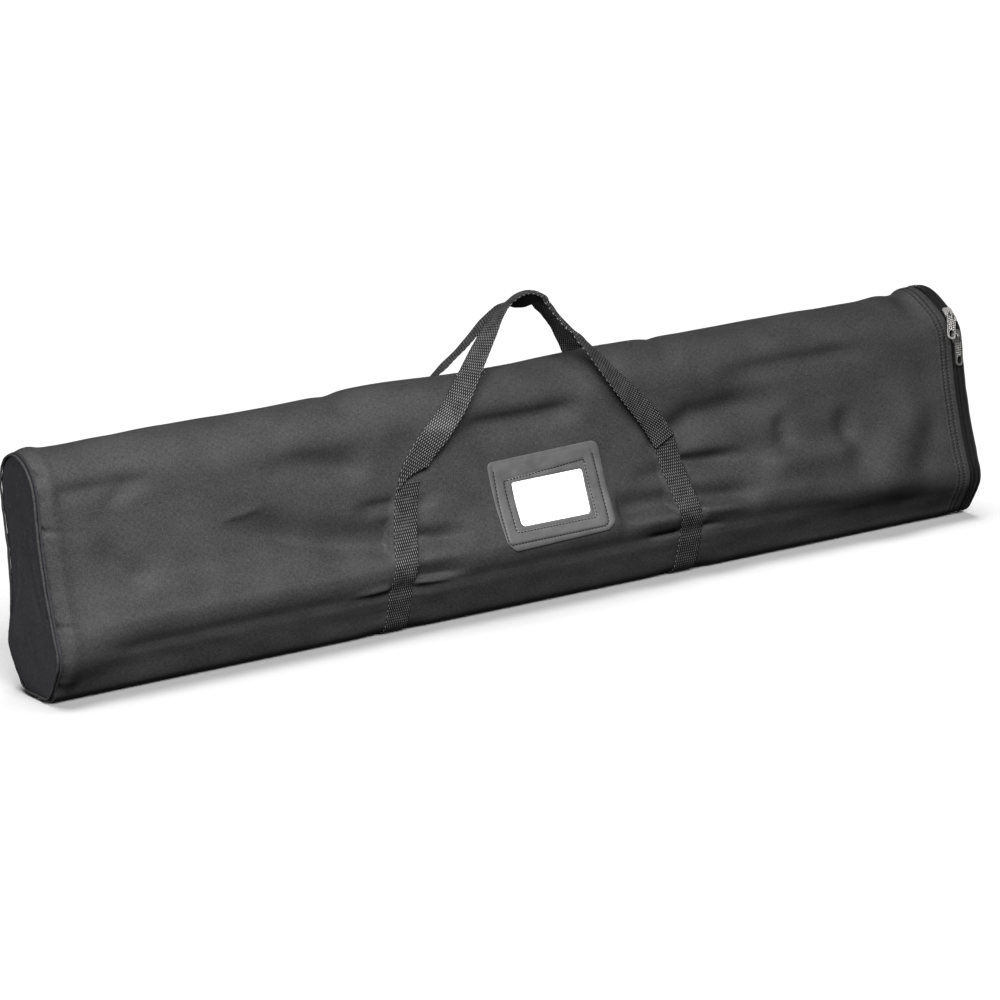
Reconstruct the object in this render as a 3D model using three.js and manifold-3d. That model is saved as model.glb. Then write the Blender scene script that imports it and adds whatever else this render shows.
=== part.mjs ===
// A long zipped carry bag for a folded music stand: a padded cloth sleeve with a sewn-in closed end,
// a zipped end flap, two webbing straps, two webbing carrying handles and a name-card pocket.
// Millimetres. X runs along the bag from the closed end to the flap, -Y is the front, +Z is up.
// The origin is the centre of the footprint, on the surface that the bag stands on.
import * as THREE from "three";
import { mergeVertices } from "three/addons/utils/BufferGeometryUtils.js";
import Module from "manifold-3d";

const wasm = await Module();
wasm.setup();

const degrees = THREE.MathUtils.degToRad;
const quarterTurn = Math.PI / 2;
const nearlyZero = 1e-6; // shorter than any real step of an outline
const mergeDistance = 1e-4; // vertices closer than this are one
const cornerSegments = 6; // straight pieces in a label's rounded corner

// ---- Driving dimensions ---------------------------------------------------------------
const bagLength = 1046; // outside of the closed end to outside of the flap
const sectionHeight = 235; // underside of the cloth sleeve to its ridge
const baseFlat = 34; // flat width of the underside
const keelRadius = 24; // turn from the underside into the sloping lower sides
const hipWidth = 122; // the section's widest part
const hipHeight = 51; // height of the widest part
const hipRadius = 30; // turn from the sloping lower sides into the hollow upper sides
const hollowRadius = 400; // the sides' long inward curve
const ridgeRadius = 41; // the section's rounded top

const clothThickness = 0.9; // coated polyester
const foamThickness = 4;
const liningThickness = 0.5;
const layerGap = 0.3; // between touching layers

const webbingWidth = 25;
const webbingThickness = 1.3;
const strapSpacing = 290; // between the straps' upper ends, centre to centre
const strapOffset = 4; // middle of the straps, along the bag
const strapLean = 0.22; // how far a strap spreads outwards for each millimetre down to the hips
const strapTop = 142; // height of a strap's upper ends above the sleeve's underside
const tackSize = 16; // stitched square that fixes each strap end
const tackThickness = 0.4;
const tackDrop = 14; // a tack's middle, below the strap's upper end

const frontCrestHeight = 305; // top of the front handle above the sleeve's underside
const rearCrestDrop = 11.5; // the rear handle passes under the front one
const frontCrestDepth = 14; // each crest's distance from the bag's centre plane
const rearCrestDepth = 9;
const frontCrestTwist = 1.04; // quarter turns of the webbing between strap and crest
const rearCrestTwist = 0.45;
const crestShift = 13; // the crests lean towards the flap
const handleEndGap = 0.7; // free length between a strap's end and its handle
const handleStandOff = 1.2; // how far a handle's lower legs hang off the cloth

const tapeThickness = 0.5; // zip tape
const tapeVisible = 2.8; // bare tape between the hem and the coil
const tapeSewnIn = 12; // tape hidden under the hem
const tapeEndAngle = degrees(10); // each tape's end, round the keel from the underside
const coilWidth = 2.6; // one half of the coil, across the tape
const coilHeight = 2.2;
const coilSplit = 1.2; // between the two halves, where the sliders' necks run
const flapTapeVisible = 3.9; // bare tape from the coil to the flap
const stopLength = 4; // crimped stop at each end of each half of the coil
const facingThickness = 1; // cloth facing inside the mouth

const sliderLength = 15;
const sliderWidth = 10.6;
const sliderPlate = 1.2;
const sliderCoilClearance = 0.5; // over the coil
const sliderTapeClearance = 1; // under the tape
const neckLength = 5;
const neckThickness = 0.6;
const bridgeLength = 7.2; // the bridge that holds the pull
const bridgeLeg = 1.2;
const bridgeWidth = 1.8;
const bridgeOpening = 2.3;
const lowerSliderHeight = 190; // the lower slider's middle, above the sleeve's underside
const upperSliderAngle = degrees(20); // the upper slider's middle, round the ridge from its front

const pullLength = 31;
const pullWidth = 9;
const pullThickness = 1.4;
const pullBar = 1.2; // the bar that passes under the slider's bridge
const pullEyeWidth = 5.4;
const pullEyeLength = 4.6;
const pullHoleWidth = 5;
const pullHoleLength = 8;
const pullRim = 2; // metal round the hole at the free end
const upperPullTurn = degrees(30); // the upper pull hangs to one side

const labelWidth = 130;
const labelBottom = 62; // heights above the sleeve's underside
const labelTop = 153;
const labelCorner = 9;
const labelThickness = 0.9;
const labelWelt = 7; // sewn border at the sides and the bottom
const labelOffset = 13; // middle of the label, along the bag
const windowWidth = 82;
const windowBottom = 85;
const windowTop = 128;
const windowCorner = 1.5;
const filmMargin = 6; // film beyond the window on each side
const filmThickness = 0.3;
const cardThickness = 0.35;
const cardWidth = 98;
const cardHeight = 62;
const cardSlack = 0.15; // behind the card, beyond the gap to the cloth
const cardClearance = 1.5; // between the card and the pocket's floor

const bindingWidth = 10;
const bindingThickness = 1;

// ---- The section ----------------------------------------------------------------------
// Y and Z are the section's axes. The outline's rear half is four arcs, from the underside up to the
// ridge. A straight slope joins the first two, and the others meet at their ends. The third is hollow.
const keel = new THREE.Vector2(baseFlat / 2, keelRadius);
const hip = new THREE.Vector2(hipWidth / 2 - hipRadius, hipHeight);
const ridge = new THREE.Vector2(0, sectionHeight - ridgeRadius);

function hollowCentre() {
  const toHip = hollowRadius + hipRadius;
  const toRidge = hollowRadius + ridgeRadius;
  const line = ridge.clone().sub(hip);
  const span = line.length();
  const along = (toHip ** 2 - toRidge ** 2 + span ** 2) / (2 * span);
  const aside = Math.sqrt(toHip ** 2 - along ** 2);
  line.normalize();
  return new THREE.Vector2(
    hip.x + line.x * along + line.y * aside,
    hip.y + line.y * along - line.x * aside,
  );
}

const hollow = hollowCentre();
const keelToHip = hip.clone().sub(keel);
const slopeAngle =
  Math.atan2(keelToHip.y, keelToHip.x) -
  Math.acos((keelRadius - hipRadius) / keelToHip.length());
const flareAngle = Math.atan2(hollow.y - hip.y, hollow.x - hip.x);
const shoulderAngle = Math.atan2(hollow.y - ridge.y, hollow.x - ridge.x);

const keelArc = 0;
const hollowArc = 2;
const ridgeArc = 3;
const arcs = [
  { centre: keel, radius: keelRadius, grow: -1, from: -quarterTurn, to: slopeAngle, steps: 5 },
  { centre: hip, radius: hipRadius, grow: -1, from: slopeAngle, to: flareAngle, steps: 6 },
  {
    centre: hollow,
    radius: hollowRadius,
    grow: 1,
    from: Math.PI + flareAngle,
    to: Math.PI + shoulderAngle,
    steps: 9,
  },
  { centre: ridge, radius: ridgeRadius, grow: -1, from: shoulderAngle, to: quarterTurn, steps: 10 },
];
const underside = { arc: keelArc, angle: -quarterTurn };
const ridgeTop = { arc: ridgeArc, angle: quarterTurn };

function arcPoint(arc, angle, inset) {
  const radius = arc.radius + arc.grow * inset;
  return new THREE.Vector2(
    arc.centre.x + radius * Math.cos(angle),
    arc.centre.y + radius * Math.sin(angle),
  );
}

function keelStation(angleFromUnderside) {
  return { arc: keelArc, angle: angleFromUnderside - quarterTurn };
}

// How far the hollow side's outward normal tips up at a height above the sleeve's underside.
function wallTip(height) {
  return Math.asin((hollow.y - height) / hollowRadius);
}

function wallStation(height) {
  return { arc: hollowArc, angle: Math.PI + wallTip(height) };
}

// Points of the rear half between two stations, moved inwards by inset, at every inset's same angles.
function rearPoints(inset, start, end) {
  const points = [];
  for (let index = start.arc; index <= end.arc; index += 1) {
    const arc = arcs[index];
    const from = index === start.arc ? start.angle : arc.from;
    const to = index === end.arc ? end.angle : arc.to;
    const turn = (arc.to - arc.from) / arc.steps;
    const angles = [from];
    for (let step = 0; step <= arc.steps; step += 1) {
      const angle = arc.from + step * turn;
      if ((angle - from) * turn > nearlyZero && (to - angle) * turn > nearlyZero) angles.push(angle);
    }
    angles.push(to);
    for (const angle of angles) {
      const point = arcPoint(arc, angle, inset);
      const last = points[points.length - 1];
      if (!last || last.distanceTo(point) > nearlyZero) points.push(point);
    }
  }
  return points;
}

function frontOf(points) {
  return points.map((point) => new THREE.Vector2(-point.x, point.y)).reverse();
}

// From a station on the front, over the ridge, to the same station on the rear.
function overTop(inset, station) {
  const rear = rearPoints(inset, station, ridgeTop);
  return [...frontOf(rear).reverse(), ...rear.reverse().slice(1)];
}

// From a station on the front, under the bag, to the same station on the rear.
function underBag(inset, station) {
  const rear = rearPoints(inset, underside, station);
  return [...frontOf(rear), ...rear];
}

function wholeOutline(inset) {
  return overTop(inset, underside);
}

function solidShape(inset) {
  return new THREE.Shape(wholeOutline(inset));
}

// The outline runs clockwise, so its hole runs the other way.
function ringShape(outerInset, innerInset) {
  const shape = solidShape(outerInset);
  shape.holes.push(new THREE.Path(wholeOutline(innerInset).reverse()));
  return shape;
}

function bandShape(outerPoints, innerPoints) {
  return new THREE.Shape([...outerPoints, ...innerPoints.reverse()]);
}

// ---- Depths under the cloth's face; a negative depth stands out of it -----------------
const underCloth = clothThickness + layerGap;
const tapeDepth = underCloth;
const tapeInnerDepth = tapeDepth + tapeThickness;
const tongueInnerDepth = tapeDepth + clothThickness;
const facingDepth = tongueInnerDepth + layerGap;
const foamInnerDepth = underCloth + foamThickness;
const liningDepth = foamInnerDepth + layerGap;
const cavityDepth = liningDepth + liningThickness;
const coilInnerDepth = tapeDepth - layerGap;
const coilOuterDepth = coilInnerDepth - coilHeight;
const sliderInnerDepth = tapeInnerDepth + sliderTapeClearance;
const sliderUndersideDepth = sliderInnerDepth + sliderPlate;
const flapPaddingDepth = sliderUndersideDepth + layerGap;
const sliderFace = sliderCoilClearance + sliderPlate - coilOuterDepth;
const pivotFace = sliderFace + bridgeOpening / 2; // the pulls' bars

// ---- Places along the bag -------------------------------------------------------------
const sleeveBase = webbingThickness + layerGap; // the sleeve stands on its two straps
const closedEndX = -bagLength / 2;
const sleeveStartX = closedEndX + clothThickness + layerGap;
const flapFaceX = bagLength / 2;
const flapInnerX = flapFaceX - clothThickness;
const flapTapeEndX = flapInnerX - layerGap;
const coilFlapX = flapTapeEndX - flapTapeVisible - coilWidth;
const zipCentreX = coilFlapX - coilSplit / 2;
const coilBodyX = zipCentreX - coilSplit / 2 - coilWidth;
const hemX = coilBodyX - tapeVisible; // edge of the sleeve's cloth at the mouth
const tapeStartX = hemX - tapeSewnIn;
const foamEndX = tapeStartX - layerGap;

// ---- Geometry helpers -----------------------------------------------------------------
function extrude(shape, depth) {
  return new THREE.ExtrudeGeometry(shape, { depth, bevelEnabled: false, steps: 1 });
}

function toSolid(geometry) {
  const bare = geometry.clone();
  bare.deleteAttribute("normal");
  bare.deleteAttribute("uv");
  const merged = mergeVertices(bare, mergeDistance);
  return new wasm.Manifold(
    new wasm.Mesh({
      numProp: 3,
      vertProperties: merged.attributes.position.array,
      triVerts: new Uint32Array(merged.index.array),
    }),
  );
}

function toGeometry(solid) {
  const mesh = solid.getMesh();
  const geometry = new THREE.BufferGeometry();
  geometry.setAttribute("position", new THREE.BufferAttribute(mesh.vertProperties, 3));
  geometry.setIndex(new THREE.BufferAttribute(mesh.triVerts, 1));
  geometry.computeVertexNormals();
  return geometry;
}

function joined(geometries) {
  const solids = geometries.map(toSolid);
  return solids.reduce((all, next) => all.add(next));
}

function boxBetween(low, high) {
  const size = high.map((value, axis) => value - low[axis]);
  const middle = high.map((value, axis) => (value + low[axis]) / 2);
  return new THREE.BoxGeometry(...size).translate(...middle);
}

// ---- Materials ------------------------------------------------------------------------
function finish(color, roughness, metalness = 0) {
  return new THREE.MeshStandardMaterial({ color, roughness, metalness });
}

const cloth = finish(0x2b2b2d, 0.75);
const foam = finish(0x3c3c40, 0.95);
const lining = finish(0x1d1d1f, 0.8);
const webbing = finish(0x232324, 0.7);
const thread = finish(0x161616, 0.6);
const tape = finish(0x101011, 0.85);
const coil = finish(0x151516, 0.45);
const nickel = finish(0xb8b5ae, 0.3, 1);
const vinyl = finish(0x4a4a4b, 0.5);
const film = finish(0xf4f6f8, 0.1);
film.transparent = true;
film.opacity = 0.3;
const paper = finish(0xfafafa, 0.6);

function named(name, geometry, material) {
  const mesh = new THREE.Mesh(geometry, material);
  mesh.name = name;
  return mesh;
}

// ---- What is extruded along the bag: in the section group, X is the bag's Y, Y its Z and Z its X ----
const bag = new THREE.Group();
const section = new THREE.Group();
section.quaternion.setFromAxisAngle(new THREE.Vector3(1, 1, 1).normalize(), degrees(120));
section.position.z = sleeveBase;
bag.add(section);

function addAlong(name, shape, fromX, toX, material) {
  const mesh = named(name, extrude(shape, toX - fromX), material);
  mesh.position.z = fromX;
  section.add(mesh);
}

function addSleeve() {
  const facingShape = ringShape(facingDepth, facingDepth + facingThickness);
  addAlong("main_panel", ringShape(0, clothThickness), sleeveStartX, hemX, cloth);
  addAlong("main_padding", ringShape(underCloth, foamInnerDepth), sleeveStartX, foamEndX, foam);
  addAlong("main_lining", ringShape(liningDepth, cavityDepth), sleeveStartX, foamEndX, lining);
  addAlong("mouth_facing", facingShape, tapeStartX, hemX, lining);
}

function addUndersideSeamBinding() {
  const low = [sleeveStartX + bindingWidth, -bindingWidth / 2, sleeveBase + cavityDepth + layerGap];
  const high = [foamEndX, bindingWidth / 2, low[2] + bindingThickness];
  bag.add(named("underside_seam_binding", boxBetween(low, high), tape));
}

function addClosedEnd() {
  const insideDepth = cavityDepth + layerGap;
  const foamEnd = sleeveStartX + foamThickness;
  const liningStart = foamEnd + layerGap;
  const liningEnd = liningStart + liningThickness;
  const bindingStart = liningEnd + layerGap;
  const bindingEnd = sleeveStartX + bindingWidth - layerGap;
  const inside = solidShape(insideDepth);
  const bindingShape = ringShape(insideDepth, insideDepth + bindingThickness);
  addAlong("closed_end_panel", solidShape(0), closedEndX, sleeveStartX - layerGap, cloth);
  addAlong("closed_end_padding", inside, sleeveStartX, foamEnd, foam);
  addAlong("closed_end_lining", inside, liningStart, liningEnd, lining);
  addAlong("closed_end_binding", bindingShape, bindingStart, bindingEnd, tape);
}

// ---- The zip and the flap -------------------------------------------------------------
function overTopBand(outerDepth, innerDepth, angleFromUnderside) {
  const station = keelStation(angleFromUnderside);
  return bandShape(overTop(outerDepth, station), overTop(innerDepth, station));
}

const stopStartAngle = tapeEndAngle + layerGap / keelRadius;
const stopEndAngle = stopStartAngle + stopLength / keelRadius;
const coilEndAngle = stopEndAngle + layerGap / keelRadius;

function addZip() {
  const tapeShape = overTopBand(tapeDepth, tapeInnerDepth, tapeEndAngle);
  const coilShape = overTopBand(coilOuterDepth, coilInnerDepth, coilEndAngle);
  const tapeSplit = coilSplit / 2;
  addAlong("zip_tape_body", tapeShape, tapeStartX, zipCentreX - tapeSplit, tape);
  addAlong("zip_coil_body", coilShape, coilBodyX, coilBodyX + coilWidth, coil);
  addAlong("zip_tape_flap", tapeShape, zipCentreX + tapeSplit, flapTapeEndX, tape);
  addAlong("zip_coil_flap", coilShape, coilFlapX, coilFlapX + coilWidth, coil);
}

function addZipStops() {
  const from = keelStation(stopStartAngle);
  const to = keelStation(stopEndAngle);
  const outerDepth = coilInnerDepth - coilHeight / 2;
  for (const [half, startX] of [["body", coilBodyX], ["flap", coilFlapX]]) {
    const rearOuter = rearPoints(outerDepth, from, to);
    const rearInner = rearPoints(coilInnerDepth, from, to);
    const endX = startX + coilWidth;
    const frontShape = bandShape(frontOf(rearOuter), frontOf(rearInner));
    addAlong(`zip_stop_${half}_front`, frontShape, startX, endX, nickel);
    addAlong(`zip_stop_${half}_rear`, bandShape(rearOuter, rearInner), startX, endX, nickel);
  }
}

// The cloth tongue under the mouth, which the flap hangs on.
function addBaseTongue() {
  const station = keelStation(tapeEndAngle - layerGap / keelRadius);
  const shape = bandShape(underBag(tapeDepth, station), underBag(tongueInnerDepth, station));
  addAlong("base_tongue", shape, tapeStartX, flapTapeEndX, cloth);
}

function addFlap() {
  const paddingStart = flapTapeEndX - foamThickness;
  const liningEnd = paddingStart - layerGap;
  const inside = solidShape(flapPaddingDepth);
  addAlong("flap_panel", solidShape(0), flapInnerX, flapFaceX, cloth);
  addAlong("flap_padding", inside, paddingStart, flapTapeEndX, foam);
  addAlong("flap_lining", inside, liningEnd - liningThickness, liningEnd, lining);
}

// ---- Seats on the front: a seat's -Y is outwards and its Z runs up the cloth ----------
function seatAt(x, point, tip) {
  const seat = new THREE.Group();
  seat.position.set(x, -point.x, sleeveBase + point.y);
  seat.rotation.x = -tip;
  return seat;
}

function wallSeat(x, height) {
  const point = arcPoint(arcs[hollowArc], wallStation(height).angle, 0);
  return seatAt(x, point, wallTip(height));
}

function ridgeSeat(x, angle) {
  return seatAt(x, arcPoint(arcs[ridgeArc], angle, 0), angle);
}

// ---- Sliders and pulls ----------------------------------------------------------------
function sliderGeometry() {
  const halfWidth = sliderWidth / 2;
  const halfLength = sliderLength / 2;
  const underHalf = halfLength - sliderPlate;
  const bridgeInner = sliderFace + bridgeOpening;
  const bridgeHalf = bridgeLength / 2;
  const insidePlate = sliderPlate / 2; // how far the neck and the legs run into the plates
  const plate = boxBetween(
    [-halfWidth, -sliderFace, -halfLength],
    [halfWidth, -sliderFace + sliderPlate, halfLength],
  );
  const under = boxBetween(
    [-halfWidth, sliderInnerDepth, -underHalf],
    [halfWidth, sliderUndersideDepth, underHalf],
  );
  const neck = boxBetween(
    [-neckThickness / 2, -sliderFace + insidePlate, -neckLength / 2],
    [neckThickness / 2, sliderInnerDepth + insidePlate, neckLength / 2],
  );
  const bridge = boxBetween(
    [-bridgeWidth / 2, -bridgeInner - sliderPlate, -bridgeHalf],
    [bridgeWidth / 2, -bridgeInner, bridgeHalf],
  );
  const leg = boxBetween(
    [-bridgeWidth / 2, -bridgeInner - insidePlate, bridgeHalf - bridgeLeg],
    [bridgeWidth / 2, -sliderFace + insidePlate, bridgeHalf],
  );
  const otherLeg = leg.clone().translate(0, 0, bridgeLeg - bridgeLength);
  return toGeometry(joined([plate, under, neck, bridge, leg, otherLeg]));
}

// A pull turns on its bar, which lies on the pull's X axis. The tab runs towards -Z.
function pullGeometry() {
  const radius = pullWidth / 2;
  const top = pullBar / 2;
  const low = top - pullLength;
  const shape = new THREE.Shape();
  shape.moveTo(-radius, top - pullBar);
  shape.lineTo(-radius + pullBar, top);
  shape.lineTo(radius - pullBar, top);
  shape.lineTo(radius, top - pullBar);
  shape.absarc(0, low + radius, radius, 0, -Math.PI, true);
  const eye = new THREE.Path();
  eye.moveTo(-pullEyeWidth / 2, -top);
  eye.lineTo(-pullEyeWidth / 2, -top - pullEyeLength);
  eye.lineTo(pullEyeWidth / 2, -top - pullEyeLength);
  eye.lineTo(pullEyeWidth / 2, -top);
  const holeRadius = pullHoleWidth / 2;
  const holeLow = low + pullRim + holeRadius;
  const hole = new THREE.Path();
  hole.absarc(0, holeLow, holeRadius, Math.PI, 2 * Math.PI, false);
  hole.absarc(0, holeLow + pullHoleLength - pullHoleWidth, holeRadius, 0, Math.PI, false);
  shape.holes.push(eye, hole);
  return extrude(shape, pullThickness)
    .translate(0, 0, -pullThickness / 2)
    .rotateX(quarterTurn);
}

function addSlider(level, seat, turn) {
  const pull = named(`zip_pull_${level}`, pullGeometry(), nickel);
  pull.position.y = -pivotFace;
  pull.rotation.copy(turn);
  seat.add(named(`zip_slider_${level}`, sliderGeometry(), nickel), pull);
  bag.add(seat);
}

function addSliders() {
  const hangsPlumb = new THREE.Euler(wallTip(lowerSliderHeight), 0, 0);
  const hangsAside = new THREE.Euler(0, upperPullTurn, 0);
  addSlider("lower", wallSeat(zipCentreX, lowerSliderHeight), hangsPlumb);
  addSlider("upper", ridgeSeat(zipCentreX, upperSliderAngle), hangsAside);
}

// ---- Straps and their tacks -----------------------------------------------------------
const strapFace = layerGap + webbingThickness; // outer face of a strap, out of the cloth's face

// How far along the bag a strap's middle is at a height. It spreads outwards down to the hips.
function strapX(side, height) {
  const spread = strapLean * (strapTop - Math.max(height, hipHeight));
  return strapOffset + side * (strapSpacing / 2 + spread);
}

function addStrap(name, side) {
  const station = wallStation(strapTop);
  const shape = bandShape(underBag(-strapFace, station), underBag(-layerGap, station));
  const geometry = extrude(shape, webbingWidth).translate(0, 0, -webbingWidth / 2);
  const position = geometry.attributes.position;
  for (let index = 0; index < position.count; index += 1) {
    const along = position.getZ(index) + strapX(side, position.getY(index));
    position.setZ(index, along);
  }
  section.add(named(name, geometry, webbing));
}

// A side is -1 on the left and 1 on the right, and a facing -1 on the front and 1 on the rear.
function addTack(name, side, facing) {
  const height = strapTop - tackDrop;
  const seat = wallSeat(strapX(side, height), height);
  seat.position.y *= -facing;
  seat.rotation.x *= -facing;
  const middle = facing * (strapFace + layerGap + tackThickness / 2);
  const square = new THREE.BoxGeometry(tackSize, tackThickness, tackSize);
  seat.add(named(name, square.translate(0, middle, 0), thread));
  bag.add(seat);
}

// ---- Handles --------------------------------------------------------------------------
const rearCrestHeight = frontCrestHeight - rearCrestDrop;

// A handle's route goes from one strap end over the crest to the other. At each stage, rise is the
// share of the way up to the crest, spread the share of the straps' half-spacing that is left, pull the
// share of the way in from the side to the crest, and twist the share of the webbing's whole twist.
const handleStages = [
  { rise: -0.07, spread: 1.05, pull: 0, twist: 0 },
  { rise: 0.2, spread: 0.84, pull: 0, twist: 0.04 },
  { rise: 0.36, spread: 0.71, pull: -0.06, twist: 0.2 },
  { rise: 0.5, spread: 0.605, pull: 0.02, twist: 0.5 },
  { rise: 0.66, spread: 0.455, pull: 0.3, twist: 0.66 },
  { rise: 0.82, spread: 0.315, pull: 0.66, twist: 0.8 },
  { rise: 0.94, spread: 0.205, pull: 0.9, twist: 0.9 },
  { rise: 0.99, spread: 0.1, pull: 1, twist: 0.97 },
];
const handleSteps = 64;

function handleFrames(facing, crestHeight, crestDepth, crestTwist) {
  const wall = -wallSeat(0, strapTop).position.y;
  const side = wall + strapFace + handleStandOff - webbingThickness / 2;
  const climb = crestHeight - strapTop;
  const points = [];
  const twists = [];
  function addStage({ rise, spread, pull, twist }, end) {
    points.push(
      new THREE.Vector3(
        strapOffset + (end * strapSpacing * spread) / 2 + crestShift * Math.max(rise, 0),
        facing * (side + (crestDepth - side) * pull),
        sleeveBase + strapTop + climb * rise,
      ),
    );
    twists.push(twist * crestTwist * quarterTurn);
  }
  handleStages.forEach((stage) => addStage(stage, -1));
  addStage({ rise: 1, spread: 0, pull: 1, twist: 1 }, 0);
  [...handleStages].reverse().forEach((stage) => addStage(stage, 1));
  const route = new THREE.CatmullRomCurve3(points, false, "centripetal");
  const spans = points.length - 1;
  const outward = new THREE.Vector3(0, facing, 0);
  const up = new THREE.Vector3(0, 0, 1);
  const frames = [];
  for (let step = 0; step <= handleSteps; step += 1) {
    const place = (step * spans) / handleSteps;
    const span = Math.min(Math.floor(place), spans - 1);
    const twist = THREE.MathUtils.lerp(twists[span], twists[span + 1], place - span);
    const tangent = route.getTangent(step / handleSteps);
    const flat = outward.clone().addScaledVector(tangent, -outward.dot(tangent)).normalize();
    const arch = up.clone().addScaledVector(tangent, -up.dot(tangent)).normalize();
    const normal = flat.multiplyScalar(Math.cos(twist)).addScaledVector(arch, Math.sin(twist));
    normal.normalize();
    const across = new THREE.Vector3().crossVectors(normal, tangent);
    frames.push({ centre: route.getPoint(step / handleSteps), across, normal });
  }
  return frames;
}

// A flat strip that follows frames of { centre, across, normal }.
function ribbon(frames, width, thickness) {
  const corners = [
    [-1, -1],
    [1, -1],
    [1, 1],
    [-1, 1],
  ];
  const positions = [];
  const index = [];
  for (const { centre, across, normal } of frames) {
    for (const [side, face] of corners) {
      const point = centre
        .clone()
        .addScaledVector(across, (side * width) / 2)
        .addScaledVector(normal, (face * thickness) / 2);
      positions.push(...point);
    }
  }
  const last = (frames.length - 1) * corners.length;
  for (let start = 0; start < last; start += corners.length) {
    for (let corner = 0; corner < corners.length; corner += 1) {
      const here = start + corner;
      const beside = start + ((corner + 1) % corners.length);
      const aheadBeside = beside + corners.length;
      index.push(here, beside, aheadBeside, here, aheadBeside, here + corners.length);
    }
  }
  index.push(0, 3, 2, 0, 2, 1);
  index.push(last, last + 1, last + 2, last, last + 2, last + 3);
  const geometry = new THREE.BufferGeometry();
  geometry.setAttribute("position", new THREE.Float32BufferAttribute(positions, 3));
  geometry.setIndex(index);
  return geometry;
}

// The route starts below the strap's end, and the webbing is cut level just above it.
function addHandle(name, facing, crestHeight, crestDepth, crestTwist) {
  const frames = handleFrames(facing, crestHeight, crestDepth, crestTwist);
  const strip = toSolid(ribbon(frames, webbingWidth, webbingThickness));
  const reach = strapSpacing;
  const cutHeight = sleeveBase + strapTop + handleEndGap;
  const below = toSolid(boxBetween([-reach, -reach, 0], [reach, reach, cutHeight]));
  bag.add(named(name, toGeometry(strip.subtract(below)), webbing));
}

// ---- The name-card pocket -------------------------------------------------------------
const cardFace = layerGap + cardSlack; // inner faces, out of the cloth's face
const filmFace = cardFace + cardThickness + layerGap;
const labelFace = filmFace + filmThickness + layerGap;

// A curved sheet on the front wall between two heights and two faces, made round the label's middle.
function wallSheet(width, bottom, top, innerFace, outerFace) {
  const low = wallStation(bottom);
  const high = wallStation(top);
  const outer = frontOf(rearPoints(-outerFace, low, high));
  const inner = frontOf(rearPoints(-innerFace, low, high));
  return extrude(bandShape(outer, inner), width).translate(0, 0, labelOffset - width / 2);
}

// A block that runs through the front wall with a rounded outline, for trimming a wall sheet.
function wallBlock(width, bottom, top, corner) {
  const right = width / 2 - corner;
  const low = bottom + corner;
  const high = top - corner;
  const outline = new THREE.Shape();
  outline.absarc(right, high, corner, 0, quarterTurn, false);
  outline.absarc(-right, high, corner, quarterTurn, Math.PI, false);
  outline.absarc(-right, low, corner, Math.PI, 3 * quarterTurn, false);
  outline.absarc(right, low, corner, 3 * quarterTurn, 4 * quarterTurn, false);
  const options = { depth: hipWidth, bevelEnabled: false, curveSegments: cornerSegments };
  const block = new THREE.ExtrudeGeometry(outline, options);
  // The outline's X is the bag's X and its Y the bag's Z; in the section group they are Z and Y.
  return toSolid(block.rotateY(-quarterTurn).translate(0, 0, labelOffset));
}

function labelFrameGeometry() {
  const outline = wallBlock(labelWidth, labelBottom, labelTop, labelCorner);
  const opening = wallBlock(windowWidth, windowBottom, windowTop, windowCorner);
  const face = labelFace + labelThickness;
  const sheet = toSolid(wallSheet(labelWidth, labelBottom, labelTop, layerGap, face));
  const pocketBottom = labelBottom + labelWelt;
  const pocketWidth = labelWidth - 2 * labelWelt;
  const pocket = toSolid(wallSheet(pocketWidth, pocketBottom, labelTop + labelWelt, 0, labelFace));
  return toGeometry(sheet.intersect(outline).subtract(opening).subtract(pocket));
}

function addLabel() {
  const cardBottom = labelBottom + labelWelt + cardClearance;
  const filmWidth = windowWidth + 2 * filmMargin;
  const filmBottom = windowBottom - filmMargin;
  const filmTop = windowTop + filmMargin;
  const cardEnd = cardFace + cardThickness;
  const filmEnd = filmFace + filmThickness;
  const cardSheet = wallSheet(cardWidth, cardBottom, cardBottom + cardHeight, cardFace, cardEnd);
  const filmSheet = wallSheet(filmWidth, filmBottom, filmTop, filmFace, filmEnd);
  section.add(named("label_frame", labelFrameGeometry(), vinyl));
  section.add(named("label_window", filmSheet, film));
  section.add(named("label_card", cardSheet, paper));
}

addSleeve();
addUndersideSeamBinding();
addClosedEnd();
addZip();
addZipStops();
addBaseTongue();
addFlap();
addSliders();
addStrap("strap_left", -1);
addStrap("strap_right", 1);
addTack("strap_tack_front_left", -1, -1);
addTack("strap_tack_front_right", 1, -1);
addTack("strap_tack_rear_left", -1, 1);
addTack("strap_tack_rear_right", 1, 1);
addHandle("handle_front", -1, frontCrestHeight, frontCrestDepth, frontCrestTwist);
addHandle("handle_rear", 1, rearCrestHeight, rearCrestDepth, rearCrestTwist);
addLabel();

export default bag;
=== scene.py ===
"""A long zipped carry bag with webbing handles: its looks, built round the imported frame.

Everything is in metres in the frame's axes: X runs along the bag from its closed end to its flap,
-Y is the front and Z is up. A place on the cloth is an x and a girth, the distance round the section
from the middle of the underside, negative on the front. Heights are above the sleeve's underside.
"""
import math

import bpy
import bmesh
import numpy as np
from mathutils import Matrix, Vector


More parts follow.
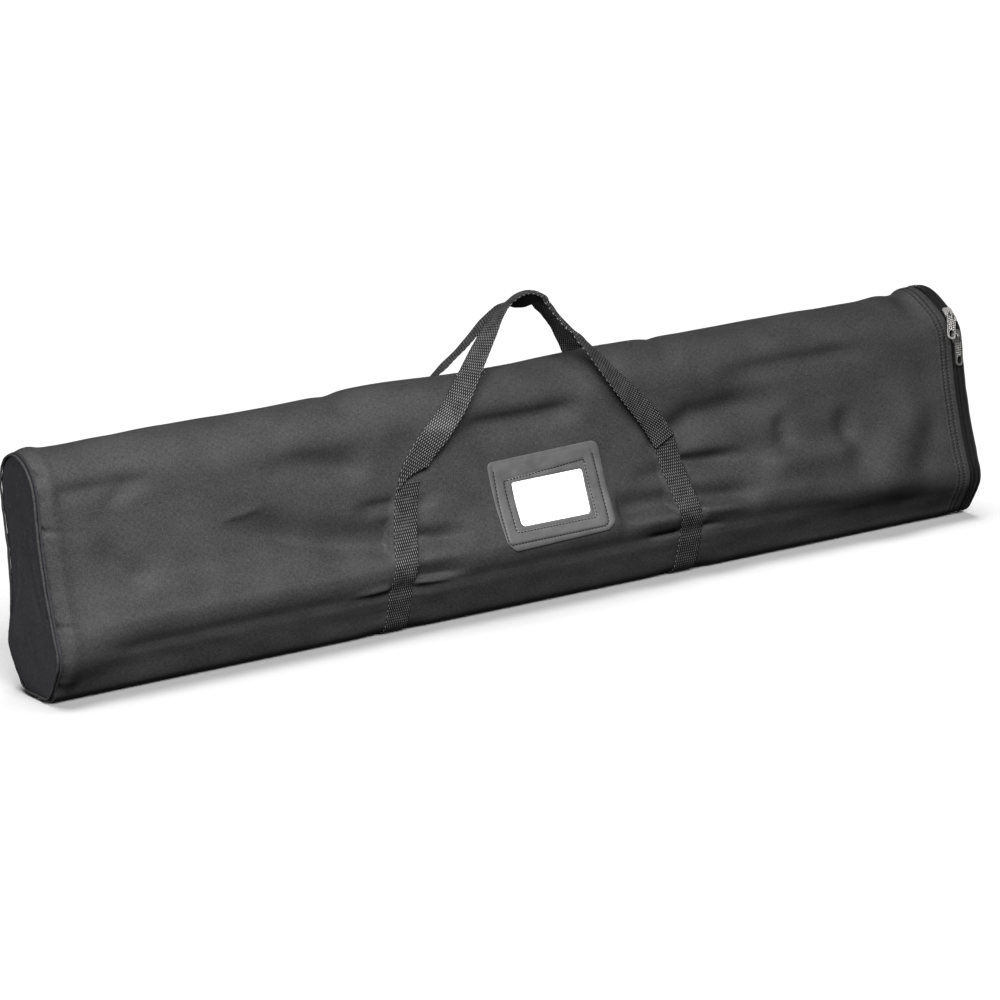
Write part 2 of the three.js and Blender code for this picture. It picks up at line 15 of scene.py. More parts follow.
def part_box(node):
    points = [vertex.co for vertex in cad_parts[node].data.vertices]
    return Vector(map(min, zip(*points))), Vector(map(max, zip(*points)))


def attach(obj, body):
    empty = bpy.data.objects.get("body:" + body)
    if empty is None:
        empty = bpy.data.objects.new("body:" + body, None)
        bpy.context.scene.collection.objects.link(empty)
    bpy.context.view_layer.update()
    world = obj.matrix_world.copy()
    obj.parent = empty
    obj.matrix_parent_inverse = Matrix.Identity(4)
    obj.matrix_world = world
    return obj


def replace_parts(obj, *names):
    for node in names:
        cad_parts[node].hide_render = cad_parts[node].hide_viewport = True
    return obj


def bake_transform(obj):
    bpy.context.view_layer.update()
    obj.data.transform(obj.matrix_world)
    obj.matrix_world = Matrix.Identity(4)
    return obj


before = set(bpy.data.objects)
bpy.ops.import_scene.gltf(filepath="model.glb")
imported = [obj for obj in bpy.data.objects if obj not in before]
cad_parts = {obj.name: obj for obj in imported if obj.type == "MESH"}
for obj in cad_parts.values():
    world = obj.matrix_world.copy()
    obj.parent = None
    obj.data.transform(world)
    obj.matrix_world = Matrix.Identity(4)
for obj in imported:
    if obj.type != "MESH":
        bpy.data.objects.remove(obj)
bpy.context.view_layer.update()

MM = 0.001
DEGREE = math.pi / 180

# ---- Driving dimensions, the CAD's own ----
SLEEVE_LOW, SLEEVE_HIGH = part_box("main_panel")
SLEEVE_BASE = SLEEVE_LOW.z
SLEEVE_START = SLEEVE_LOW.x
HEM_X = SLEEVE_HIGH.x
SECTION_HEIGHT = SLEEVE_HIGH.z - SLEEVE_LOW.z
HIP_WIDTH = 122 * MM
BASE_FLAT = 34 * MM
KEEL_RADIUS = 24 * MM
HIP_HEIGHT = 51 * MM
HIP_RADIUS = 30 * MM
HOLLOW_RADIUS = 400 * MM
RIDGE_RADIUS = 41 * MM

CLOTH = 0.9 * MM
WEBBING_WIDTH = 25 * MM
WEBBING = 1.3 * MM
STRAP_SPACING = 290 * MM
STRAP_OFFSET = 4 * MM
STRAP_LEAN = 0.22
STRAP_TOP = 142 * MM
HEM_ROWS = (7 * MM, 13 * MM)  # the hem's rows of stitches, from its edge
STITCH_PITCH = 3.6 * MM

ZIP_X = (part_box("zip_tape_body")[1].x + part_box("zip_tape_flap")[0].x) / 2
FLAP_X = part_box("flap_panel")[0].x
CLOSED_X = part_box("closed_end_panel")[0].x


# ---- The section: the rear half's points, outward normals and girths ----
def arc(centre, radius, start, end, grow=1):
    """Points of an arc and their outward normals; grow is -1 where the arc's centre is outside."""
    angles = np.linspace(start, end, max(3, int(abs(end - start) * radius / (0.5 * MM))))
    radial = np.stack([np.cos(angles), np.sin(angles)], axis=1)
    return np.array(centre) + radius * radial, grow * radial


def reach_along(points):
    """The distance along a line of points to each of them."""
    return np.concatenate([[0], np.cumsum(np.linalg.norm(np.diff(points, axis=0), axis=1))])


def resample(places, reach, values):
    """Rows of values, such as points, found between those at reach."""
    return np.stack([np.interp(places, reach, values[:, axis]) for axis in range(values.shape[1])], axis=-1)


def unit(vectors):
    return vectors / np.linalg.norm(vectors, axis=-1, keepdims=True)


def rear_half():
    """Points, outward normals and girths, and the centres of the hollow's and the ridge's arcs."""
    keel = np.array([BASE_FLAT / 2, KEEL_RADIUS])
    hip = np.array([HIP_WIDTH / 2 - HIP_RADIUS, HIP_HEIGHT])
    ridge = np.array([0, SECTION_HEIGHT - RIDGE_RADIUS])
    to_hip, to_ridge = HOLLOW_RADIUS + HIP_RADIUS, HOLLOW_RADIUS + RIDGE_RADIUS
    span = float(np.linalg.norm(ridge - hip))
    line = (ridge - hip) / span
    along = (to_hip**2 - to_ridge**2 + span**2) / (2 * span)
    aside = math.sqrt(to_hip**2 - along**2)
    hollow = hip + line * along + np.array([line[1], -line[0]]) * aside
    rise = hip - keel
    slope = math.atan2(rise[1], rise[0]) - math.acos((KEEL_RADIUS - HIP_RADIUS) / np.linalg.norm(rise))
    flare = math.atan2(hollow[1] - hip[1], hollow[0] - hip[0])
    shoulder = math.atan2(hollow[1] - ridge[1], hollow[0] - ridge[0])
    stretches = [
        (np.array([[0, 0]]), np.array([[0, -1]])),
        arc(keel, KEEL_RADIUS, -math.pi / 2, slope),
        arc(hip, HIP_RADIUS, slope, flare),
        arc(hollow, HOLLOW_RADIUS, math.pi + flare, math.pi + shoulder, -1),
        arc(ridge, RIDGE_RADIUS, shoulder, math.pi / 2),
    ]
    points, normals = (np.concatenate(parts) for parts in zip(*stretches))
    keep = np.concatenate([[True], np.diff(reach_along(points)) > 1e-7])  # two arcs share each joint's point
    points, normals = points[keep], normals[keep]
    return points, normals, reach_along(points), hollow, ridge


OUTLINE, OUTLINE_NORMALS, OUTLINE_GIRTHS, HOLLOW_CENTRE, RIDGE_CENTRE = rear_half()
HALF_GIRTH = float(OUTLINE_GIRTHS[-1])


def section_at(girth):
    """y, height and the outward normal's y and z, at signed girths."""
    size, side = np.abs(girth), np.sign(girth)
    found = [
        np.interp(size, OUTLINE_GIRTHS, values)
        for values in (OUTLINE[:, 0], OUTLINE[:, 1], OUTLINE_NORMALS[:, 0], OUTLINE_NORMALS[:, 1])
    ]
    return found[0] * side, found[1], found[2] * side, found[3]


def girth_at(height):
    return np.interp(height, OUTLINE[:, 1], OUTLINE_GIRTHS)


def height_at(girth):
    return np.interp(np.abs(girth), OUTLINE_GIRTHS, OUTLINE[:, 1])


def strap_x(side, height):
    """The middle of a strap along the bag: it spreads outwards down to the hips."""
    spread = STRAP_LEAN * (STRAP_TOP - np.maximum(height, HIP_HEIGHT))
    return STRAP_OFFSET + side * (STRAP_SPACING / 2 + spread)


# ---- The cloth's relief: how far it stands out of the section ----
def smooth(low, high, value):
    """An eased step from 0 at low to 1 at high, which may be the lower of the two."""
    t = np.clip((value - low) / (high - low), 0, 1)
    return t * t * (3 - 2 * t)


def bell(value, middle, width):
    return np.exp(-(((value - middle) / width) ** 2))


def softened(values, window):
    """Values smoothed along their row."""
    kernel = np.hanning(window) / np.hanning(window).sum()
    return np.convolve(np.pad(values, window // 2, mode="edge"), kernel, mode="valid")


def waves(x, girth, wavelength, seed, stretch=1.0, count=7):
    """Soft random waves from -1 to 1; stretch lengthens them along the bag."""
    random = np.random.default_rng(seed)
    total = np.zeros(np.broadcast(x, girth).shape)
    for _ in range(count):
        angle = random.uniform(0, math.pi)
        length = wavelength * random.uniform(0.7, 1.5)
        phase = random.uniform(0, 2 * math.pi)
        place = x * math.cos(angle) / stretch + girth * math.sin(angle)
        total = total + np.sin(2 * math.pi * place / length + phase)
    return total / math.sqrt(count * 2)


FOLD_DEPTH = 2.6 * MM  # that of a fold with a depth of 1
# A fold on the front: the (x, height) points along its bottom or crest, how far it reaches above and
# below them, its depth out of the cloth, and the lengths over which it fades in and out at its ends.
FOLDS = [
    # from the closed end to the left strap
    ([(-350, 140), (-300, 127), (-258, 111), (-215, 99), (-160, 95)], 21, 11, -5.0, 90, 0),
    ([(-345, 144), (-318, 147), (-292, 150)], 5, 3, 0.9, 18, 18),
    ([(-198, 87), (-160, 85)], 4, 4, -1.8, 20, 0),
    ([(-222, 49), (-160, 51)], 4, 3.5, 1.4, 30, 0),
    ([(-300, 190), (-245, 180), (-175, 166)], 17, 11, -3.4, 60, 30),
    ([(-512, 197), (-450, 198), (-390, 196)], 9, 9, -1.9, 12, 50),
    ([(-462, 180), (-420, 192)], 9, 7, -1.6, 20, 20),
    ([(-205, 131), (-155, 130)], 6, 7, -1.9, 30, 0),
    ([(-476, 150), (-440, 112), (-424, 92)], 14, 14, -1.8, 30, 20),
    ([(-455, 96), (-360, 92)], 14, 16, 1.8, 40, 40),
    # out of the left strap
    ([(-147, 92), (-110, 90), (-72, 88)], 10, 10, -4.2, 0, 45),
    ([(-150, 60), (-110, 58), (-78, 56)], 9, 5, -3.2, 0, 45),
    ([(-150, 53), (-98, 47)], 3.5, 3.5, 1.5, 0, 40),
    ([(-140, 126), (-104, 130)], 7, 8, -1.5, 0, 30),
    # into the right strap
    ([(58, 85), (100, 82), (158, 80)], 14, 12, -5.2, 50, 0),
    ([(86, 65), (158, 64)], 8, 7, 2.2, 40, 0),
    ([(112, 47), (158, 46)], 4, 3.5, -2.2, 25, 0),
    ([(96, 108), (154, 110)], 8, 9, -1.6, 35, 0),
    # out of the right strap
    ([(156, 115), (205, 113), (262, 111)], 8, 11, -4.6, 0, 60),
    ([(158, 113), (176, 110), (200, 104)], 3, 3, 1.0, 0, 22),
    ([(160, 80), (215, 76), (268, 70)], 10, 10, -4.0, 0, 50),
    ([(160, 66), (245, 61)], 6, 5, 2.2, 0, 45),
    ([(160, 51), (215, 47)], 4, 4, -1.6, 0, 40),
    ([(150, 142), (185, 157), (235, 161), (310, 158)], 15, 14, -4.0, 0, 90),
    # the upper part between the straps and on to the mouth
    ([(-90, 189), (0, 187), (70, 190)], 12, 12, -3.6, 40, 40),
    ([(210, 195), (300, 196), (420, 193)], 10, 12, -2.4, 50, 60),
    ([(286, 150), (292, 102)], 11, 11, -2.4, 20, 20),
    ([(360, 146), (367, 98)], 12, 12, -2.4, 25, 20),
    ([(250, 99), (310, 98), (378, 97)], 9, 18, 3.4, 30, 30),
    ([(378, 48), (412, 80), (440, 108), (470, 138)], 24, 28, 3.2, 34, 40),
    ([(436, 50), (462, 84), (486, 118)], 18, 17, -1.3, 26, 24),
]


def fold_shape(x, height, points, above, below, depth, fade_in, fade_out):
    """One fold's relief: a smooth hollow or ridge along a bent line, steeper on its shorter side."""
    points = np.array(points, float) * MM
    nearest = np.full(x.shape, np.inf)
    aside, along = np.zeros(x.shape), np.zeros(x.shape)
    start = 0.0
    for first, last in zip(points[:-1], points[1:]):
        line = last - first
        length = float(np.hypot(*line))
        share = np.clip(((x - first[0]) * line[0] + (height - first[1]) * line[1]) / length**2, 0, 1)
        away = np.hypot(x - first[0] - share * line[0], height - first[1] - share * line[1])
        side = np.sign(line[0] * (height - first[1]) - line[1] * (x - first[0]))
        closer = away < nearest
        nearest = np.where(closer, away, nearest)
        aside = np.where(closer, side * away, aside)
        along = np.where(closer, start + share * length, along)
        start += length
    fade = np.ones(x.shape)
    if fade_in:
        fade = fade * smooth(0, fade_in * MM, along)
    if fade_out:
        fade = fade * smooth(0, fade_out * MM, start - along)
    return FOLD_DEPTH * depth * fade * bell(aside, 0, np.where(aside > 0, above, below) * MM)


def fold_relief(x, girth):
    """The folds of the front, and the same folds turned end for end on the rear."""
    height = height_at(girth)
    turned = np.where(girth > 0, -x, x)
    total = np.zeros(x.shape)
    for fold in FOLDS:
        total += fold_shape(turned, height, *fold)
    return total * smooth(12 * MM, 30 * MM, height)


def strap_distance(x, girth):
    """Distance along the bag from the nearer strap's middle, and whether a strap passes at that height."""
    height = height_at(girth)
    distance = np.minimum(np.abs(x - strap_x(-1, height)), np.abs(x - strap_x(1, height)))
    return distance, smooth(STRAP_TOP + 8 * MM, STRAP_TOP - 12 * MM, height)


LABEL = {"left": -54 * MM, "right": 80 * MM, "bottom": 61 * MM, "top": 155 * MM}


def under_label(x, girth):
    """1 under the label, fading to 0 round it."""
    height = height_at(girth)
    beyond = np.maximum.reduce([
        LABEL["left"] - x, x - LABEL["right"], LABEL["bottom"] - height, height - LABEL["top"],
    ])
    return (1 - smooth(-2 * MM, 10 * MM, beyond)) * (girth < 0)


# How far the cloth stands out of the section up its height: full above the hips and drawn in below.
HIP_HEIGHTS = np.array([0, 12, 28, 38, 45, 51, 57, 63, 70, 84, 110, 240]) * MM
HIP_RELIEF = np.array([0, -0.5, -5.0, -8.0, -8.3, -6.2, -2.2, 2.4, 5.2, 3.4, 0.2, 0]) * MM


HIP_FINE = np.linspace(0, 240 * MM, 481)
HIP_CURVE = softened(np.interp(HIP_FINE, HIP_HEIGHTS, HIP_RELIEF), 15)


def hip_relief(x, height):
    lower = 11 * MM * smooth(250 * MM, 420 * MM, x)
    ends = smooth(0, 90 * MM, x - SLEEVE_START) * smooth(0, 70 * MM, HEM_X - x)
    calm = 1 - 0.45 * smooth(270 * MM, 390 * MM, x)
    return np.interp(height + lower, HIP_FINE, HIP_CURVE) * ends * calm


# How far the rear side sags in up its height, between the corners of the closed end.
WAIST_HEIGHTS = np.array([0, 18, 34, 50, 66, 84, 110, 140, 175, 240]) * MM
WAIST_DEPTHS = np.array([0, 0, 2.0, 6.0, 9.0, 10.2, 9.2, 5.5, 0, 0]) * MM


def waist_relief(x, girth):
    height = height_at(girth)
    depth = np.interp(height, WAIST_HEIGHTS, WAIST_DEPTHS) * (np.asarray(girth) > 0)
    return -depth * (1 - smooth(0, 110 * MM, np.asarray(x) - SLEEVE_START))


# The ridge's swells and dips: place along the bag, width and height.
SWELLS = (
    (-165, 75, 3.4), (115, 90, 1.8), (-196, 12, -2.0), (-206, 34, -0.6), (166, 12, -2.0), (478, 18, -3.6),
)


def body_relief(x, girth):
    """The sleeve's smooth shape: the belly between the straps, the hips, the ridge's swells and dips."""
    height = height_at(girth)
    distance, strapped = strap_distance(x, girth)
    belly = 1.3 * MM * (1 - bell(distance, 0, 38 * MM)) - 0.5 * MM
    belly = belly * smooth(20 * MM, 45 * MM, height) * smooth(235 * MM, 190 * MM, height)
    pinch = -1.6 * MM * bell(distance, 0, 20 * MM) * strapped * smooth(4 * MM, 30 * MM, height)
    sag = (SLEEVE_BASE - 0.4 * MM) * smooth(14 * MM, 3 * MM, height) * smooth(16 * MM, 45 * MM, distance)
    near_mouth = smooth(HEM_X - 24 * MM, HEM_X - 4 * MM, x)
    near_end = smooth(0, 40 * MM, x - SLEEVE_START)
    ridge = 0.7 * MM * waves(x, 0 * girth, 260 * MM, 3) * near_end
    for place, width, swell in SWELLS:
        ridge = ridge + swell * MM * bell(x, place * MM, width * MM)
    ridge = ridge * smooth(200 * MM, 234 * MM, height)
    shape = belly * near_end + pinch + hip_relief(x, height) + ridge
    return (sag + shape) * (1 - near_mouth) + waist_relief(x, girth)


# Small tucks at the closed end's seam: height, side, reach along the bag and depth.
TUCKS = (
    (167, -1, 12, 4.6), (78, -1, 10, 5.0), (221, -1, 9, 4.2), (128, -1, 6, 1.2), (181, 1, 12, 3.4),
    (96, 1, 10, 3.4), (40, 1, 9, 2.2),
)


def pucker_relief(x, girth):
    """Gathers at the straps and the seams, loose folds and the cloth's small unevenness."""
    height = height_at(girth)
    distance, strapped = strap_distance(x, girth)
    edge = np.maximum(distance - WEBBING_WIDTH / 2, 0)
    gathers = waves(0 * x, girth, 17 * MM, 11) + 0.6 * np.sign(x) * waves(0 * x, girth, 9 * MM, 12)
    at_straps = 0.75 * MM * gathers * np.exp(-edge / (13 * MM)) * strapped * smooth(5 * MM, 25 * MM, height)
    from_seam = x - SLEEVE_START
    seam_waves = waves(0 * x, girth, 26 * MM, 21) + 0.5 * waves(0 * x, girth, 12 * MM, 22)
    at_seam = 0.7 * MM * seam_waves * np.exp(-from_seam / (11 * MM))
    tucks = np.zeros(x.shape)
    for tuck, side, reach, depth in TUCKS:
        near = bell(height + 0.25 * from_seam, tuck * MM, 2.8 * MM)
        tucks -= depth * MM * near * np.exp(-from_seam / (reach * MM)) * (np.sign(girth) == side)
    rolled = 2.6 * MM * bell(from_seam, 13 * MM, 8 * MM) - 2.2 * MM * np.exp(-from_seam / (4 * MM))
    rolled = rolled * smooth(6 * MM, 30 * MM, height)
    from_hem = HEM_X - x
    hem_waves = waves(0 * x, girth, 11 * MM, 31) + 0.7 * waves(0 * x, girth, 30 * MM, 32)
    at_hem = 0.3 * MM * hem_waves * bell(from_hem, 16 * MM, 9 * MM)
    loose = 0.9 * MM * waves(x, girth, 70 * MM, 41, 2.6) + 0.22 * MM * waves(x, girth, 22 * MM, 42, 1.8)
    ends = smooth(0, 30 * MM, from_seam) * smooth(14 * MM, 40 * MM, from_hem)
    loose = (loose + fold_relief(x, girth)) * ends * smooth(3 * MM, 25 * MM, height)
    under_strap = (1 - smooth(-3 * MM, 6 * MM, distance - WEBBING_WIDTH / 2)) * strapped
    relief = at_straps + at_seam + tucks + rolled + at_hem + loose
    return relief * (1 - under_strap) * (1 - under_label(x, girth))


def hem_relief(x):
    """The hem is cloth folded double, pulled down at its two rows of stitches."""
    from_hem = HEM_X - x
    double = 0.5 * MM * smooth(17 * MM, 15.5 * MM, from_hem)
    for row in HEM_ROWS:
        double = double - 0.45 * MM * bell(from_hem, row, 1.1 * MM)
    return double


def seam_relief(girth):
    """The seam along the middle of the underside."""
    return -0.7 * MM * bell(girth, 0, 1.6 * MM)


def cloth_relief(x, girth):
    """The cloth's whole relief; what is sewn flat on the cloth lies on body_relief alone."""
    return body_relief(x, girth) + pucker_relief(x, girth) + hem_relief(x) + seam_relief(girth)


def on_cloth(x, girth, out=0.0, relief=cloth_relief):
    """Points at a distance out of the cloth."""
    x, girth = np.broadcast_arrays(np.asarray(x, float), np.asarray(girth, float))
    y, z, normal_y, normal_z = section_at(girth)
    out = relief(x, girth) + out if relief else np.zeros(x.shape) + out
    return np.stack([x, y + normal_y * out, SLEEVE_BASE + z + normal_z * out], axis=-1)


# ---- Mesh helpers ----
# The mouth leans back from upright, most of all at its top corner, which is lifted too.
LEAN_HEIGHTS = np.array([0, 20, 60, 120, 185, 200, 215, 228, 238]) * MM
LEAN_BACK = np.array([0, 1, 5, 5, 6, 8, 12.5, 19.5, 23]) * MM
LEAN_LIFT = 4.5 * MM


def leant(vertices):
    """Vertices moved back with the mouth where they lie near it."""
    points = np.array(vertices, float).reshape(-1, 3)
    back = np.interp(points[:, 2], LEAN_HEIGHTS, LEAN_BACK)
    near = smooth(410 * MM, 500 * MM, points[:, 0])
    points[:, 0] -= back * near
    points[:, 2] += LEAN_LIFT * near * smooth(212 * MM, 240 * MM, points[:, 2])
    return points


def add_object(name, data):
    made = bpy.data.objects.new(name, data)
    bpy.context.scene.collection.objects.link(made)
    return made


def make_object(name, vertices, faces, material, body):
    mesh = bpy.data.meshes.new(name)
    mesh.from_pydata(leant(vertices).tolist(), [], faces)
    mesh.validate()
    mesh.shade_smooth()
    mesh.materials.append(material)
    piece = add_object(name, mesh)
    if body:
        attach(piece, body)
    return piece


def grid_faces(rows, columns, close_rows=False, close_columns=False):
    """Quads of a grid of points, wrapped round where it is closed."""
    row = np.arange(rows if close_rows else rows - 1)
    column = np.arange(columns if close_columns else columns - 1)
    row, column = np.meshgrid(row, column, indexing="ij")
    next_row, next_column = (row + 1) % rows, (column + 1) % columns
    corners = [
        row * columns + column, row * columns + next_column,
        next_row * columns + next_column, next_row * columns + column,
    ]
    return np.stack(corners, axis=-1).reshape(-1, 4).tolist()


def turned_over(faces):
    return [face[::-1] for face in faces]


def set_place(piece, first, second, third=0.0):
    """Stores for each vertex the vector that the materials read."""
    values = np.stack(np.broadcast_arrays(first, second, third), axis=-1)
    attribute = piece.data.attributes.new("place", "FLOAT_VECTOR", "POINT")
    attribute.data.foreach_set("vector", np.asarray(values, np.float32).ravel())


def thicken(piece, thickness, offset=-1):
    modifier = piece.modifiers.new("thickness", "SOLIDIFY")
    modifier.thickness = thickness
    modifier.offset = offset
    modifier.use_even_offset = False


def make_layer(name, points, faces, material, body, place, thickness, node, offset=-1):
    """A thin layer in place of a CAD node: a surface with its stored place, thickened to one side."""
    piece = make_object(name, points, faces, material, body)
    set_place(piece, *place)
    thicken(piece, thickness, offset)
    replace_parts(piece, node)
    return piece


def spaced(start, end, step, zones=()):
    """Places from start to end, closer together in each zone of (low, high, step)."""
    places = [start]
    while places[-1] < end:
        here = places[-1]
        steps = [fine for low, high, fine in zones if low <= here + 1e-9 < high]
        places.append(here + min(steps + [step]))
    places = np.array(places)
    return start + (places - start) * (end - start) / (places[-1] - start)


# ---- Materials ----
class Nodes:
    """A material's node tree, with short calls for the nodes that the materials share."""

    def __init__(self, name):
        self.material = bpy.data.materials.new(name)
        self.material.use_nodes = True
        self.tree = self.material.node_tree
        self.shader = self.tree.nodes["Principled BSDF"]

    def node(self, kind, **settings):
        made = self.tree.nodes.new(kind)
        for key, value in settings.items():
            setattr(made, key, value)
        return made

    def feed(self, socket, value):
        if isinstance(value, bpy.types.NodeSocket):
            self.tree.links.new(value, socket)
        else:
            socket.default_value = value

    def math(self, operation, a, b=0.0, c=0.0, clamp=False):
        made = self.node("ShaderNodeMath", operation=operation, use_clamp=clamp)
        for socket, value in zip(made.inputs, (a, b, c)):
            self.feed(socket, value)
        return made.outputs[0]

    def millimetres(self, vector):
        scaled = self.node("ShaderNodeVectorMath", operation="SCALE")
        self.feed(scaled.inputs[0], vector)
        self.feed(scaled.inputs["Scale"], 1 / MM)
        return scaled.outputs[0]

    def place(self):
        """The stored place in millimetres, whole and split in three."""
        stored = self.node("ShaderNodeAttribute", attribute_name="place")
        scaled = self.millimetres(stored.outputs["Vector"])
        split = self.node("ShaderNodeSeparateXYZ")
        self.feed(split.inputs[0], scaled)
        return scaled, split.outputs

    def object_place(self):
        """The point in millimetres, for pieces with no stored place."""
        return self.millimetres(self.node("ShaderNodeTexCoord").outputs["Object"])

    def noise(self, vector, scale, detail=2.0, roughness=0.5, stretch=None):
        if stretch:
            stretched = self.node("ShaderNodeVectorMath", operation="MULTIPLY")
            self.feed(stretched.inputs[0], vector)
            stretched.inputs[1].default_value = stretch
            vector = stretched.outputs[0]
        made = self.node("ShaderNodeTexNoise")
        self.feed(made.inputs["Vector"], vector)
        made.inputs["Scale"].default_value = scale
        made.inputs["Detail"].default_value = detail
        made.inputs["Roughness"].default_value = roughness
        return made.outputs[0]

    def sine(self, value, wavelength, phase=0.0):
        return self.math("SINE", self.math("MULTIPLY_ADD", value, 2 * math.pi / wavelength, phase))

    def ramp(self, value, stops):
        made = self.node("ShaderNodeValToRGB")
        self.feed(made.inputs[0], value)
        elements = made.color_ramp.elements
        while len(elements) < len(stops):
            elements.new(0.5)
        for element, (position, color) in zip(elements, stops):
            element.position = position
            element.color = (*color, 1.0)
        return made.outputs[0]

    def sewn(self, along, around, rows):
        """The cloth's puckers at rows of stitches that run round it at places along it."""
        total = 0.0
        for row in rows:
            away = self.math("ABSOLUTE", self.math("SUBTRACT", along, row / MM))
            near = self.math("MULTIPLY_ADD", away, -1 / 2.4, 1.0, clamp=True)
            pulled = self.math("MULTIPLY_ADD", self.sine(around, STITCH_PITCH / MM), 0.5, 0.5)
            total = self.math("ADD", self.math("MULTIPLY", near, pulled), total)
        return self.math("MULTIPLY", total, -1.0)

    def bump(self, height, distance, strength=1.0, under=None):
        made = self.node("ShaderNodeBump")
        self.feed(made.inputs["Height"], height)
        made.inputs["Distance"].default_value = distance
        made.inputs["Strength"].default_value = strength
        if under is not None:
            self.feed(made.inputs["Normal"], under)
        return made.outputs[0]

    def finish(self, color=None, roughness=None, normal=None, **constants):
        if color is not None:
            self.feed(self.shader.inputs["Base Color"], color)
        if roughness is not None:
            self.feed(self.shader.inputs["Roughness"], roughness)
        if normal is not None:
            self.feed(self.shader.inputs["Normal"], normal)
        for name, value in constants.items():
            self.shader.inputs[name.replace("_", " ")].default_value = value
        return self.material


def grey(value, blue=0.0):
    return (value, value, value * (1 + blue))


YARN_PITCH = 0.95  # in the materials' millimetres, as the next two are
LINING_PITCH = 0.5
RIB_PITCH = 0.7


def cloth_material(name, dark, light, blue=0.0, sewn_rows=()):
    """Fine polyester cloth: a plain weave, uneven in tone."""
    nodes = Nodes(name)
    place, (along, around, _) = nodes.place()
    weave = nodes.math("MULTIPLY", nodes.sine(along, YARN_PITCH), nodes.sine(around, YARN_PITCH))
    slubs = nodes.math(
        "ADD", nodes.noise(place, 0.9, 3, 0.6, (0.3, 1, 1)), nodes.noise(place, 0.9, 3, 0.6, (1, 0.3, 1))
    )
    patches = nodes.noise(place, 0.02, 3, 0.55)
    tone = nodes.math("MULTIPLY_ADD", weave, 0.1, nodes.math("MULTIPLY_ADD", slubs, 0.9, -0.45))
    tone = nodes.math("ADD", tone, nodes.math("MULTIPLY_ADD", patches, 0.5, -0.25), clamp=True)
    color = nodes.ramp(tone, [(0.2, grey(dark, blue)), (0.7, grey(light, blue))])
    roughness = nodes.math("MULTIPLY_ADD", slubs, 0.12, 0.48)
    normal = nodes.bump(nodes.math("MULTIPLY_ADD", weave, 0.5, slubs), 0.07 * MM, 0.8)
    if sewn_rows:
        normal = nodes.bump(nodes.sewn(along, around, sewn_rows), 0.6 * MM, 1.0, normal)
    return nodes.finish(color, roughness, normal, Specular_IOR_Level=0.05)


WEAVE_ACROSS = 2.27 * MM
WEAVE_ALONG = 6.3 * MM
WEAVE_HEIGHT = 0.17 * MM


def webbing_material():
    """Coarse webbing: warp floats side by side, staggered, their tops painted lighter as a painted highlight.
    """
    nodes = Nodes("webbing")
    place, (across, along, _) = nodes.place()
    float_waves = nodes.math(
        "MULTIPLY", nodes.math("COSINE", nodes.math("MULTIPLY", across, 2 * math.pi / (WEAVE_ACROSS / MM))),
        nodes.math("COSINE", nodes.math("MULTIPLY", along, 2 * math.pi / (WEAVE_ALONG / MM))),
    )
    fibres = nodes.noise(place, 2.2, 3, 0.6, (2.5, 0.5, 1))
    worn = nodes.noise(place, 0.09, 2, 0.5)
    # The floats' tops are painted lighter than their sides: a painted highlight, over the fibres' and the
    # wear's random tone.
    tone = nodes.math("MULTIPLY_ADD", float_waves, 0.5, nodes.math("MULTIPLY_ADD", fibres, 0.3, 0.3))
    tone = nodes.math("ADD", tone, nodes.math("MULTIPLY_ADD", worn, 0.3, -0.15), clamp=True)
    color = nodes.ramp(tone, [(0.2, grey(0.003)), (0.52, grey(0.011)), (0.92, grey(0.135))])
    roughness = nodes.math("MULTIPLY_ADD", fibres, 0.25, 0.36)
    height = nodes.math("MULTIPLY_ADD", float_waves, 0.5, nodes.math("MULTIPLY", fibres, 0.5))
    normal = nodes.bump(height, 0.16 * MM, 0.8)
    return nodes.finish(color, roughness, normal, Specular_IOR_Level=0.08)


def ribbed_material(name, dark, light):
    """Zip tape and binding: fine ribs."""
    nodes = Nodes(name)
    place, (along, _, _) = nodes.place()
    ribs = nodes.sine(along, RIB_PITCH)
    threads = nodes.noise(place, 1.6, 2, 0.5, (1.5, 0.4, 1))
    tone = nodes.math("MULTIPLY_ADD", ribs, 0.25, threads, clamp=True)
    color = nodes.ramp(tone, [(0.2, grey(dark)), (0.8, grey(light))])
    normal = nodes.bump(nodes.math("MULTIPLY_ADD", ribs, 0.5, threads), 0.1 * MM, 0.8)
    return nodes.finish(color, nodes.math("MULTIPLY_ADD", threads, 0.2, 0.55), normal, Specular_IOR_Level=0.2)


def lining_material():
    nodes = Nodes("lining")
    place, (along, around, _) = nodes.place()
    weave = nodes.math("MULTIPLY", nodes.sine(along, LINING_PITCH), nodes.sine(around, LINING_PITCH))
    creases = nodes.noise(place, 0.05, 4, 0.6)
    color = nodes.ramp(creases, [(0.3, grey(0.012, 0.06)), (0.7, grey(0.026, 0.06))])
    height = nodes.math("MULTIPLY_ADD", weave, 0.1, creases)
    normal = nodes.bump(height, 0.5 * MM, 0.5)
    return nodes.finish(color, nodes.math("MULTIPLY_ADD", creases, 0.2, 0.4), normal, Sheen_Weight=0.1)


def mottled_material(name, noise, dark, light, roughness, bump, **constants):
    """One noise sets the tone and the bump; noise and bump are the values of Nodes' own calls."""
    nodes = Nodes(name)
    mottle = nodes.noise(nodes.object_place(), *noise)
    color = nodes.ramp(mottle, [(0.3, dark), (0.7, light)])
    return nodes.finish(color, roughness, nodes.bump(mottle, *bump), **constants)


